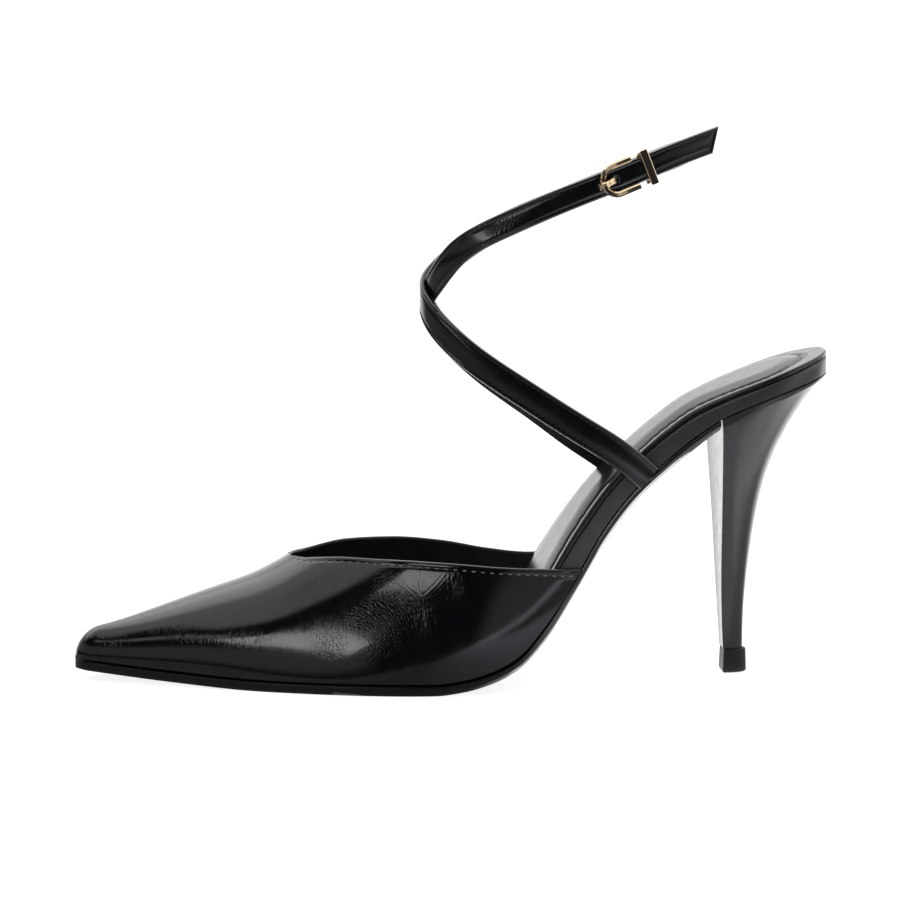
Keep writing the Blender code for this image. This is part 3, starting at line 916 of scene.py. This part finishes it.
def vamp_side(stations, side, inset, share):
    """Grid of points over one side of the vamp, from the feather edge up, set in from its outer face."""
    foot = feather_edge(stations)
    rim = VAMP_WALL / 2 * ease((stations - VAMP_THROAT) / RIM_FADE)
    top = VAMP["outer_top"] if side == OUTER else VAMP["inner_top"]
    cut = steady(stations, VAMP["station"], top) - rim
    kept_share = np.clip((cut - foot) / (ridge(stations, 0.0) - foot), 0.0, 1.0)
    top_angle = np.where(stations > VAMP_THROAT, np.arcsin(kept_share), np.pi / 2)
    angle = top_angle[:, None] * share
    set_back = stations + inset * (1 - np.clip(stations / TOE_FADE, 0, 1))
    reach = half_width(set_back, inset, VAMP_WALL + FIT - inset)
    foot = feather_edge(set_back)
    height = np.maximum(ridge(set_back, inset) - foot, 0.0)
    swell = spline(set_back, VAMP["station"], VAMP["swell"])
    swell = swell * np.clip((set_back - inset) / TOE_ROUND, 0, 1)
    out = reach[:, None] * np.cos(angle) + swell[:, None] * np.sin(2 * angle)
    up = foot[:, None] + height[:, None] * np.sin(angle)
    return xyz(along_x(set_back)[:, None], centre(set_back)[:, None] + side * out, up)


def surface_normals(grid, side):
    """Directions out of a grid of points on one side of the shoe."""
    along = np.gradient(grid, axis=0)
    up = np.gradient(grid, axis=1)
    normal = np.cross(along, up) * -side
    length = np.linalg.norm(normal, axis=-1, keepdims=True)
    return normal / np.maximum(length, 1e-9)


def below_top(grid):
    """Distance of each point of a side from its top edge, along the surface."""
    steps = np.linalg.norm(np.diff(grid[:, ::-1], axis=1), axis=-1)
    walked = np.concatenate([np.zeros((len(grid), 1)), np.cumsum(steps, axis=1)], axis=1)
    return walked[:, ::-1]


def vamp_relief(grid, stations, side, share):
    """How far the finished surface stands out of the plain one."""
    station = stations[:, None]
    height = grid[..., 2]
    shift = 0.0 if side == OUTER else INNER_CREASE_SHIFT
    open_top = ease((station - VAMP_THROAT) / THROAT_FADE)
    ridge_fade = open_top + (1 - open_top) * (1 - ease((share - RIDGE_CLEAR) / (1 - RIDGE_CLEAR)))
    creases = vamp_creases(station - shift, height) * ridge_fade
    roll = -LAST_ROLL * np.clip(1 - share / LAST_ROLL_SHARE, 0, 1) ** 2 * ease(station / ROLL_FADE)
    seam_on = ease((station - VAMP_THROAT) / RIM_FADE)
    seam = -SEAM_DEPTH * bell((below_top(grid) - SEAM_DROP) / SEAM_WIDTH) * seam_on
    return creases + roll + seam


def build_vamp():
    """Outer face with its creases, the lining, and the folded edge of the topline between them."""
    before = np.concatenate([[0.0], spaced(TIP_START, VAMP_THROAT, VAMP_STEP)])
    after = VAMP_THROAT + RIM_FADE * np.linspace(0, 1, RIM_STATIONS)[1:] ** RIM_CROWDING
    fine = np.linspace(after[-1], VAMP_FINE_END, round((VAMP_FINE_END - after[-1]) / VAMP_FINE_STEP))[1:]
    rest = np.linspace(fine[-1], VAMP_END, round((VAMP_END - fine[-1]) / VAMP_STEP))[1:]
    stations = np.concatenate([before, after, fine, rest])
    throat = len(before) - 1
    fold = RIM_POINTS // 2
    lining_share = np.linspace(0, 1, LINING_COLUMNS + 1)
    patches = []
    seams = []
    for side, columns in ((OUTER, VAMP_COLUMNS), (INNER, INNER_COLUMNS)):
        even = np.linspace(0, 1, columns + 1)
        share = EVEN_SHARE * even + (1 - EVEN_SHARE) * (0.5 - 0.5 * np.cos(np.pi * even))
        plain = vamp_side(stations, side, 0.0, share)
        normals = surface_normals(plain, side)
        outer = plain + vamp_relief(plain, stations, side, share)[..., None] * normals
        lining = vamp_side(stations, side, VAMP_WALL, lining_share)
        height = plain[..., 2]
        station = stations[:, None]
        marks = {
            "ticks": TICKS_EVERYWHERE + spots(station, height, VAMP_TICKS),
            "crackle": spots(station, height, VAMP_CRACKLE),
            "arcs": spots(station, height, VAMP_ARCS),
            "arc_turns": np.hypot(station - ARC_STATION, height - ARC_HEIGHT) / ARC_PITCH,
        }
        patches.append((outer, 0, marks))
        patches.append((lining, 1, {}))
        patches.append((np.stack([outer[:, 0], lining[:, 0]], axis=1), 1, {}))
        rim = rim_points(outer[throat:, -1], lining[throat:, -1], side)
        patches.append((np.concatenate([outer[-1], rim[-1, 1:-1], lining[-1, ::-1]])[None], 0, {}))
        patches.append((rim[:, :fold + 1], 0, {}))
        patches.append((rim[:, fold:], 1, {}))
        seams.append(seam_below(outer[throat:], normals[throat:]))
    finish_piece(weld("vamp_leather", patches, ["vamp", "lining"], 60.0), "vamp", "vamp")
    # The vamp stitches use the thread look, whose light grey is a painted highlight on black thread.
    finish_piece(stitches("vamp_stitches", seams, SEAM_PITCH, SEAM_THREAD), "vamp")


def rim_points(outer, inner, side):
    """Half round edge from the outer face over to the lining."""
    middle = (outer + inner) / 2
    across = (outer - inner) / 2
    tangent = unit(np.gradient(middle, axis=0))
    away = unit(np.cross(tangent, across)) * side
    away[0] = unit(away[0] * (1, 0, 1))
    turn = np.linspace(0, np.pi, RIM_POINTS)
    radius = np.linalg.norm(across, axis=-1)[:, None, None]
    over = across[:, None] * np.cos(turn)[:, None] + radius * away[:, None] * np.sin(turn)[:, None]
    return middle[:, None] + over


def seam_below(grid, normals):
    """Line of a seam at a fixed distance under the topline, with the directions out of the leather."""
    drop = below_top(grid)
    rows = np.arange(len(grid))
    column = (drop > SEAM_DROP).sum(axis=1) - 1
    column = np.clip(column, 0, grid.shape[1] - 2)
    near, far = drop[rows, column + 1], drop[rows, column]
    share = ((SEAM_DROP - near) / np.maximum(far - near, 1e-6))[:, None]
    line = grid[rows, column + 1] * (1 - share) + grid[rows, column] * share
    return line, normals[rows, column]


def on_line(at, reach, values):
    """Values along a line, taken between its points at other distances."""
    return np.stack([np.interp(at, reach, column) for column in values.T], axis=-1)


def resample(line, normals, pitch):
    """Points at an even pitch along a line, with the line's directions and its normals there."""
    reach = distance_along(line)
    at = np.arange(pitch, reach[-1] - pitch / 2, pitch)
    forward = on_line(at, reach, np.gradient(line, axis=0))
    return on_line(at, reach, line), unit(forward), unit(on_line(at, reach, normals))


def stitches(name, seams, pitch, radius, look="thread"):
    """All stitches of the seams in one mesh: short rounded bars whose ends dip into the leather."""
    sides = 6
    along = np.array([-0.25, -0.21, -0.11, 0.11, 0.21, 0.25]) * pitch
    thick = np.array([0.25, 0.8, 1.0, 1.0, 0.8, 0.25]) * radius
    rise = np.array([-0.9, -0.35, 0.1, 0.1, -0.35, -0.9]) * radius
    turn = np.linspace(0, 2 * np.pi, sides, endpoint=False)
    patches = []
    for line, normals in seams:
        points, forward, outward = resample(line, normals, pitch)
        sideways = np.cross(forward, outward)
        for k in range(len(points)):
            spine = points[k] + along[:, None] * forward[k] + rise[:, None] * outward[k]
            ring = np.cos(turn)[:, None] * sideways[k] + np.sin(turn)[:, None] * outward[k]
            patches += tube(spine[:, None] + thick[:, None, None] * ring)
    return weld(name, patches, [look], 80.0)


def quarter_round(radius, count=6):
    """Quarter circle from the side of an edge to its top, as steps in and down."""
    turn = np.linspace(0, np.pi / 2, count)
    return [(radius * (1 - np.cos(a)), radius * (1 - np.sin(a))) for a in turn]


def build_layer(name, stations, half_section, look, sharp, node):
    """Layer of the sole from its half sections, lists of (distance from the middle, height)."""
    rings = []
    for station in stations:
        middle = centre(station)
        half = half_section(station)
        ring = [(middle - y, z) for y, z in half] + [(middle + y, z) for y, z in reversed(half)]
        rings.append([(along_x(station), y, z) for y, z in ring])
    finish_piece(weld(name, tube(rings), [look], sharp), look, node)


def outsole_half(station):
    """Square edge that is bevelled underneath and softened at the top."""
    wide = half_width(station, 0.0, sole("lip", station))
    low, high, bevel = (float(sole(column, station)) for column in ("under", "feather", "bevel"))
    lower = max(wide - bevel, FLAT_SHARE * wide)
    step = min(bevel, (high - low) / 2)
    soft = min(OUTSOLE_SOFT, 0.2 * wide)
    half = [(lower * 0.5, low), (lower, low)]
    half += [(wide - soft * 0.4, low + step * 0.9), (wide, low + step + 0.15)]
    half += [(wide - soft * x, high - soft * y) for x, y in ((0.0, 1.0), (0.3, 0.3), (1.0, 0.0))]
    return half + [(wide * 0.5, high)]


def insole_half(station):
    """Wrapped edge that is rolled over at the top."""
    wide = float(half_width(station, INSOLE_START, 0.0))
    low = float(feather_edge(station))
    high = float(bed(station) - rise_over(station, SOCK_THICK + FIT))
    radius = min(INSOLE_ROLL, 0.3 * wide, 0.4 * (high - low))
    half = [(wide * 0.5, low), (wide - radius * 0.35, low), (wide, low + radius * 0.35)]
    half += [(wide - x, high - y) for x, y in quarter_round(radius)]
    return half + [(wide * 0.5, high)]


def sock_plan():
    """Stations of the sock, its middle line and half its width."""
    stations = bed_stations(SOCK_START)
    return stations, centre(stations), half_width(stations, SOCK_START, -SOCK_INSET)


def sock_height(station, y):
    """Height of the sock over its flat underside: soft edge, margin, sewn groove and padded middle."""
    stations, middle, wide = sock_plan()
    near = np.stack([stations, middle - wide], axis=-1)
    far = np.stack([stations, middle + wide], axis=-1)
    outline = np.concatenate([near, far[::-1]])
    place = np.stack(np.broadcast_arrays(station, y), axis=-1)
    gap = np.linalg.norm(place[..., None, :] - outline, axis=-1)
    edge = gap.min(axis=-1)
    walked = distance_along(outline)[gap.argmin(axis=-1)]
    to_heel = ease((station - SOCK_HEEL_START) / SOCK_HEEL_RUN)
    beyond = edge - (SOCK_MARGIN + (SOCK_MARGIN_HEEL - SOCK_MARGIN) * to_heel)
    wave = np.cos(2 * np.pi * walked / PUCKER_PITCH + PUCKER_SWAY * np.sin(walked / PUCKER_SWAY_RUN))
    soft_edge = -SOCK_EDGE * (1 - round_end(edge, SOCK_EDGE))
    groove = -SOCK_GROOVE * (1 + GROOVE_WAVE * wave) * bell(beyond / SOCK_GROOVE_WIDTH)
    pad = SOCK_PAD * np.sin(np.pi / 2 * np.clip(beyond / SOCK_PAD_RUN, 0, 1))
    beside = np.clip(np.abs(beyond) / SOCK_GROOVE_WIDTH, 0, 1)
    pucker = PUCKER_DEPTH * wave * bell(beyond / PUCKER_RUN) * beside
    return SOCK_THICK + soft_edge + groove + pad + pucker


def build_sock():
    stations, middle, wide = sock_plan()
    even = np.linspace(-1, 1, SOCK_COLUMNS)
    across = np.sin(np.pi / 2 * even) * SOCK_CROWDING + even * (1 - SOCK_CROWDING)
    x = along_x(stations)[:, None]
    y = middle[:, None] + across * wide[:, None]
    under = (bed(stations) - rise_over(stations, SOCK_THICK))[:, None]
    slope = rise_over(stations, 1.0)[:, None]
    fade = np.clip(wide / SOCK_TIP_FADE, 0.05, 1.0)[:, None]
    height = SOCK_THICK + (sock_height(stations[:, None], y) - SOCK_THICK) * fade
    top = xyz(x, y, under + height * slope)
    bottom = xyz(x, y, under)[:, ::SOCK_UNDER_STEP]
    patches = [(top, 0, {}), (bottom, 0, {})]
    for end in (0, -1):
        patches.append((np.stack([top[:, end], bottom[:, end]], axis=1), 0, {}))
        patches.append((np.concatenate([top[end], bottom[end, ::-1]])[None], 0, {}))
    sock = weld("sock_padded", patches, ["sock"], 60.0)
    finish_piece(sock, "sock", "sock")


def build_heel():
    """Rings that change from the small tip's half round to the outline of the heel seat."""
    ring_of = between_rows(HEEL, HEEL_RINGS)
    turn = np.linspace(0, np.pi / 2, HEEL_HALF_POINTS)
    share = np.sin(turn)
    rings = []
    for k, seat in enumerate(np.linspace(0, 1, HEEL_RINGS)):
        front, back = ring_of["front"][k], ring_of["back"][k]
        station = front + (back - front) * share
        seat_shape = half_width(station + (LENGTH - HEEL_INSET - back) * share, 0.0, 0.0)
        wide = (1 - seat**2) * ring_of["half_width"][k] * np.cos(turn) + seat**2 * seat_shape
        wide = np.where(share >= 1.0, 0.0, wide)
        low, high = ring_of["front_height"][k], ring_of["back_height"][k]
        level = low + (high - low) * share
        if k == HEEL_RINGS - 1:
            level = sole("feather", station)
        half = xyz(along_x(station), wide, level)
        breast = np.linspace(1, -1, BREAST_POINTS + 2)[1:-1]
        scoop = BREAST_SCOOP * wide[0] * (1 - breast**2)
        over = xyz(along_x(front) + scoop, breast * wide[0], level[0])
        ring = np.concatenate([half * (1, -1, 1), half[-2::-1], over])
        ring[:, 1] += CENTRE_SHIFT
        rings.append(ring)
    finish_piece(weld("heel_cover", tube(rings), ["heel"], 45.0), "heel_cover", "heel")


def build_heel_tip():
    """Top piece with a softened foot and a fine seam under the heel."""
    turn = np.linspace(-np.pi / 2, np.pi / 2, TIP_POINTS)
    depth = np.abs(np.cos(turn)) ** TIP_FULLNESS
    half_length = (TIP_BACK - TIP_FRONT) / 2
    rings = []
    for level, grow in zip(*TIP_RINGS.values()):
        x = along_x(TIP_FRONT + half_length) + half_length * (2 * depth - 1) * (1 + grow / half_length)
        y = TIP_HALF_WIDTH * np.sin(turn) * (1 + grow / TIP_HALF_WIDTH) + CENTRE_SHIFT
        rings.append(xyz(x, y, level))
    finish_piece(weld("heel_top_piece", tube(rings), ["tip"], 35.0), "heel_tip", "heel_tip")


def strap_path(rows, count):
    """Points, directions and widths along a strap whose face stands upright round the ankle."""
    points = xyz(rows["x"], rows["y"], rows["z"])
    reach = distance_along(points)
    at = np.linspace(0, reach[-1], count)
    line = np.stack([spline(at, reach, column) for column in points.T], axis=-1)
    line[:, 1] += CENTRE_SHIFT
    forward = unit(np.gradient(line, axis=0))
    outward = unit(xyz(forward[:, 1], -forward[:, 0], 0.0))
    from_ankle = line - np.array([ANKLE_X, 0.0, 0.0])
    outward *= np.sign((outward * from_ankle).sum(axis=1))[:, None]
    upward = np.cross(forward, outward)
    upward *= np.sign(upward[:, 2])[:, None]
    return line, forward, outward, upward, spline(at, reach, rows["width"])


def rolled(edge, radius):
    """Half a strap's thickness at a distance from its rolled edge."""
    return STRAP_THICK / 2 - radius * (1 - round_end(edge, radius))


def strap_face(edge, across, half):
    """Section of a strap's outer face: rolled edge, sewn groove and domed middle."""
    groove = -STRAP_SEAM_DEPTH * bell((edge - STRAP_SEAM_IN) / STRAP_SEAM_WIDTH)
    dome = STRAP_DOME * np.clip(1 - (across / (half - STRAP_SEAM_IN)) ** 2, 0, 1)
    dome = dome * ease((edge - STRAP_SEAM_IN) / STRAP_DOME_RUN)
    return rolled(edge, STRAP_EDGE_ROUND) + groove + dome


def upper_run(line):
    """Points of a strap on the near side above the crossing."""
    return (line[:, 1] < 0) & (line[:, 2] > CROSSING_HEIGHT)


def strap_creases(line, reach, across):
    """Slanted troughs with raised lips across a strap's upper run on the near side."""
    total = np.zeros(across.shape)
    upper = upper_run(line)
    for x, slant, depth, wide in zip(*STRAP_CREASES.values()):
        at = reach[upper][np.argmin(np.abs(line[upper, 0] - x))]
        total += depth * trough(np.abs(reach[:, None] - at - slant * across) / wide)
    return total


def leaned(line, outward, upward):
    """Directions of a strap turned about its length by its lean above the crossing."""
    lean = steady(line[:, 0], STRAP_TWIST["x"], STRAP_TWIST["lean"])
    lean = np.radians(np.where(upper_run(line), lean, 0.0))
    cos, sin = np.cos(lean)[:, None], np.sin(lean)[:, None]
    return cos * outward + sin * upward, cos * upward - sin * outward


def build_strap(name, rows, skew):
    line, forward, outward, upward, width = strap_path(rows, STRAP_STATIONS)
    reach = distance_along(line)
    near = line[:, 1] < 0
    if skew:
        outward, upward = leaned(line, outward, upward)
        origin, along = buckle_place()[:2]
        along_buckle = (line - origin) @ along
        width = width + np.where(near, STRAP_FILL * bell(along_buckle / BUCKLE_HALF_LENGTH), 0.0)
    fine = np.linspace(-1, 1, STRAP_COLUMNS)
    fine = (1 - STRAP_CROWDING) * fine + STRAP_CROWDING * np.sin(np.pi / 2 * fine)
    half = width[:, None] / 2
    across = fine * half
    left = (reach[-1] - reach)[:, None]
    edge = np.minimum(half - np.abs(across), left / np.hypot(1, skew))
    face = strap_face(edge, across, half)
    if skew:
        face += strap_creases(line, reach, across) * ease((edge - STRAP_CREASE_IN) / STRAP_CREASE_IN)
        hole = np.hypot(along_buckle[:, None] - HOLE_ALONG, across) / HOLE_RADIUS
        face -= np.where(near[:, None], HOLE_DEPTH * bell(hole), 0.0)
    back = -rolled(edge, STRAP_LINING_ROUND)
    ramp = ease(1 - left / TIP_RAMP)
    base = line[:, None] + across[..., None] * upward[:, None]
    base = base + (skew * across * ramp)[..., None] * forward[:, None]
    outer = base + face[..., None] * outward[:, None]
    inner = base + back[..., None] * outward[:, None]
    marks = {"ticks": 0.1, "crackle": 0.15}
    rim = STRAP_EDGE_COLUMNS
    patches = [(outer[:, rim:-rim], 0, marks), (inner, 1, {})]
    patches += [(outer[:, :rim + 1], 2, {}), (outer[:, -rim - 1:], 2, {})]
    for end in (0, -1):
        patches.append((np.stack([outer[:, end], inner[:, end]], axis=1), 0, {}))
        patches.append((np.stack([outer[end], inner[end]], axis=1), 0, {}))
    strap = weld(name, patches, ["strap", "strap_lining", "strap_edge"], 60.0)
    finish_piece(strap, "strap", "ankle_strap")
    seams = []
    lift = STRAP_THICK / 2 - STRAP_SEAM_DEPTH + STRAP_THREAD_LIFT
    kept = reach < reach[-1] - STRAP_SEAM_IN
    for side in (-1, 1):
        offset = side * (width / 2 - STRAP_SEAM_IN)
        seam = line + offset[:, None] * upward + lift * outward
        seam = seam + (skew * offset * ramp[:, 0])[:, None] * forward
        seams.append((seam[kept], outward[kept]))
    return seams


def buckle_place():
    """Point of the inner strap under the buckle, and the directions along, across and out of it."""
    line, forward, outward, upward, width = strap_path(INNER_STRAP, FINE_STATIONS)
    k = FINE_STATIONS // 2 + np.argmin(np.abs(line[FINE_STATIONS // 2:, 0] - BUCKLE_X))
    return line[k], forward[k], upward[k], outward[k]


def placed(points):
    """Points given along, across and out of the strap at the buckle, in the shoe's own directions."""
    origin, forward, upward, outward = buckle_place()
    points = np.asarray(points, float)
    return origin + points[..., :1] * forward + points[..., 1:2] * upward + points[..., 2:] * outward


def metal_section(along, across, width, low, high, facing, bevel):
    """Section of the buckle's metal with bevelled edges; facing is the direction of its width."""
    trim = min(bevel, BEVEL_SHARE * width, BEVEL_SHARE * (high - low))
    side = width / 2
    half = [(trim - side, low), (-side, low + trim), (-side, high - trim), (trim - side, high)]
    corners = half + [(-offset, level) for offset, level in reversed(half)]
    return [(along + offset * facing[0], across + offset * facing[1], level) for offset, level in corners]


def corner_arc(along, across, radius, start_angle):
    turn = np.radians(start_angle + np.linspace(0, 90, ARC_STEPS))
    return [(along + radius * np.cos(a), across + radius * np.sin(a), a) for a in turn]


def metal_rings(path, width, depth):
    """Sections of the buckle's metal along a path of (along, across, direction of its width)."""
    rings = []
    for along, across, angle in path:
        low = steady(along, depth["along"], depth["low"])
        high = steady(along, depth["along"], depth["high"])
        facing = (np.cos(angle), np.sin(angle))
        rings.append(metal_section(along, across, width, low, high, facing, METAL_BEVEL))
    return rings


def build_buckle_frame():
    """Horseshoe swept round its outline, hinge bar and rails under the strap, and keeper on two links."""
    half_long = BUCKLE_HALF_LENGTH - BUCKLE_WIRE / 2
    half_wide = BUCKLE_HALF_WIDTH - BUCKLE_WIRE / 2
    steps = np.linspace(BUCKLE_DEPTH["along"][-1], BUCKLE_CORNER - half_long, ARM_STEPS)[:-1]
    path = [(along, half_wide, np.pi / 2) for along in steps]
    path += corner_arc(BUCKLE_CORNER - half_long, half_wide - BUCKLE_CORNER, BUCKLE_CORNER, 90)
    path += [(along, -across, -angle) for along, across, angle in reversed(path)]
    patches = tube(placed(metal_rings(path, BUCKLE_WIRE, BUCKLE_DEPTH)))
    link_steps = np.linspace(LINK_DEPTH["along"][0], LINK_DEPTH["along"][-1], LINK_STEPS)
    rail_ends = (HINGE_ALONG, LINK_DEPTH["along"][0] + RAIL_OVERLAP)
    rail_section = (RAIL_WIDTH, RAIL_LOW, RAIL_HIGH, (0.0, 1.0), RAIL_BEVEL)
    for side in (-1, 1):
        path = [(along, side * LINK_ACROSS, np.pi / 2) for along in link_steps]
        patches += tube(placed(metal_rings(path, LINK_WIDTH, LINK_DEPTH)))
        rail = [metal_section(along, side * RAIL_ACROSS, *rail_section) for along in rail_ends]
        patches += tube(placed(rail))
    keeper = []
    for side, cut in ((-1, 1), (-1, 0), (1, 0), (1, 1)):
        end = side * (KEEPER_HALF - (1 - cut) * KEEPER_BEVEL)
        trim = cut * KEEPER_BEVEL
        section = (KEEPER_WIDTH - 2 * trim, KEEPER_LOW + trim, KEEPER_HIGH - trim)
        keeper.append(metal_section(KEEPER_ALONG, end, *section, (1.0, 0.0), KEEPER_BEVEL))
    turn = np.linspace(0, 2 * np.pi, HINGE_SIDES, endpoint=False)
    level = -STRAP_THICK / 2 - FIT - HINGE_RADIUS
    bar = [[(HINGE_ALONG + HINGE_RADIUS * np.cos(a), side * half_wide, level + HINGE_RADIUS * np.sin(a))
            for a in turn] for side in (-1, 1)]
    patches += tube(placed(keeper)) + tube(placed(bar))
    finish_piece(weld("buckle_gold", patches, ["gold"], 25.0), "buckle", "buckle_frame")


def build_buckle_prong():
    """Prong with a groove along its back."""
    side = PRONG_WIDTH / 2
    rings = []
    for along, low, high in zip(*between_rows(PRONG, PRONG_STATIONS).values()):
        floor = high - PRONG_GROOVE
        half = [(0.0, floor), (PRONG_GROOVE_FLOOR, floor), (PRONG_GROOVE, high), (side - PRONG_BEVEL, high)]
        half += [(side, high - PRONG_BEVEL), (side, low + PRONG_FOOT), (side - PRONG_FOOT, low)]
        ring = [(along, y, z) for y, z in half] + [(along, -y, z) for y, z in reversed(half[1:])]
        rings.append(ring)
    finish_piece(weld("buckle_tongue", tube(placed(rings)), ["gold"], 30.0), "buckle", "buckle_prong")


def build_stage():
    """Wide pale floor that gloss doesn't mirror, with cards on it that only gloss mirrors."""
    half = FLOOR_SIZE / 2
    look, tree, shader = principled("pale floor", grey(FLOOR_TONE), 0.8)
    connect(shader, Emission_Color=(1.0, 1.0, 1.0, 1.0), Emission_Strength=FLOOR_GLOW)
    floor = sheet("floor", -half, half, -half, half, FLOOR_LEVEL, look)
    floor.visible_glossy = False
    for left, right, front, back, glow_left, glow_right in zip(*CARDS.values()):
        look, tree, shader = principled("card", grey(0.0), 1.0, gloss=0.0)
        glow = remap(tree, along_shoe(tree), left, right, glow_left, glow_right)
        connect(shader, Emission_Color=CARD_COLOUR, Emission_Strength=glow)
        card = sheet("card", left, right, front, back, CARD_LEVEL, look)
        card.visible_camera = False
        card.visible_diffuse = False
        card.visible_shadow = False


def sheet(name, left, right, front, back, level, look):
    """Flat rectangle of the stage."""
    data = bpy.data.meshes.new(name)
    corners = [(left, front, level), (right, front, level), (right, back, level), (left, back, level)]
    data.from_pydata(corners, [], [(0, 1, 2, 3)])
    data.materials.append(look)
    made = new_object(name, data)
    return made


def direction(turn, tilt):
    turn, tilt = np.radians([turn, tilt])
    return np.array([np.sin(turn) * np.cos(tilt), -np.cos(turn) * np.cos(tilt), np.sin(tilt)])


def build_softboxes():
    """Rectangular lamps that face the shoe."""
    for turn, tilt, roll, width, height, radiance in zip(*SOFTBOXES.values()):
        lamp = bpy.data.lights.new("softbox", "AREA")
        lamp.shape = "RECTANGLE"
        lamp.size = width
        lamp.size_y = height
        lamp.energy = radiance * np.pi * width * height
        made = new_object("softbox", lamp)
        away = Vector(direction(turn, tilt))
        made.location = away * SOFTBOX_DISTANCE + Vector(SOFTBOX_AIM)
        made.rotation_mode = "QUATERNION"
        spin = Quaternion((0.0, 0.0, 1.0), np.radians(roll))
        made.rotation_quaternion = away.to_track_quat("Z", "Y") @ spin


def build_world():
    """Room that is dark in front, dim at the left and bright overhead, behind the shoe and at its right."""
    world = bpy.data.worlds.new("studio")
    bpy.context.scene.world = world
    world.use_nodes = True
    tree = world.node_tree
    toward = add(tree, "TexCoord").outputs["Generated"]
    axes = dict(zip("xyz", add(tree, "SeparateXYZ", Vector=toward).outputs))
    axes["edge"] = calculate(tree, "VectorMath", "DOT_PRODUCT", toward, CEILING_EDGE).outputs["Value"]
    lit = 0.0
    for ramps in ROOM_PARTS.values():
        part = times(tree, *(remap(tree, axes[axis], *limits) for axis, *limits in ramps))
        lit = maths(tree, "MAXIMUM", lit, part)
    connect(tree.nodes["Background"], Color=blend(tree, lit, ROOM_DARK, ROOM_BRIGHT))


def build_camera():
    back = direction(CAMERA_TURN, CAMERA_TILT)
    data = bpy.data.cameras.new("camera")
    data.sensor_width = CAMERA_SENSOR
    data.lens = CAMERA_LENS
    camera = new_object("camera", data)
    camera.location = Vector((np.array(CAMERA_TARGET) + back * CAMERA_DISTANCE) * MM)
    camera.rotation_mode = "QUATERNION"
    camera.rotation_quaternion = Vector(-back).to_track_quat("-Z", "Y")
    bpy.context.scene.camera = camera


def main():
    outsole_stations = spaced(TIP_START, OUTSOLE_END, OUTSOLE_STEP)
    build_layer("outsole_black", outsole_stations, outsole_half, "outsole", 30.0, "outsole")
    build_layer("insole_wrap", bed_stations(INSOLE_START), insole_half, "insole_wrap", 35.0, "insole")
    build_sock()
    build_vamp()
    build_heel()
    build_heel_tip()
    seams = build_strap("strap_outer_side", OUTER_STRAP, 0.0)
    seams += build_strap("strap_inner_side", INNER_STRAP, TIP_SKEW)
    thread = stitches("strap_stitches", seams, STRAP_SEAM_PITCH, STRAP_THREAD, "strap_thread")
    finish_piece(thread, "strap")
    build_buckle_frame()
    build_buckle_prong()
    build_stage()
    build_world()
    build_softboxes()
    build_camera()
    bpy.context.scene.view_settings.view_transform = "Standard"


main()
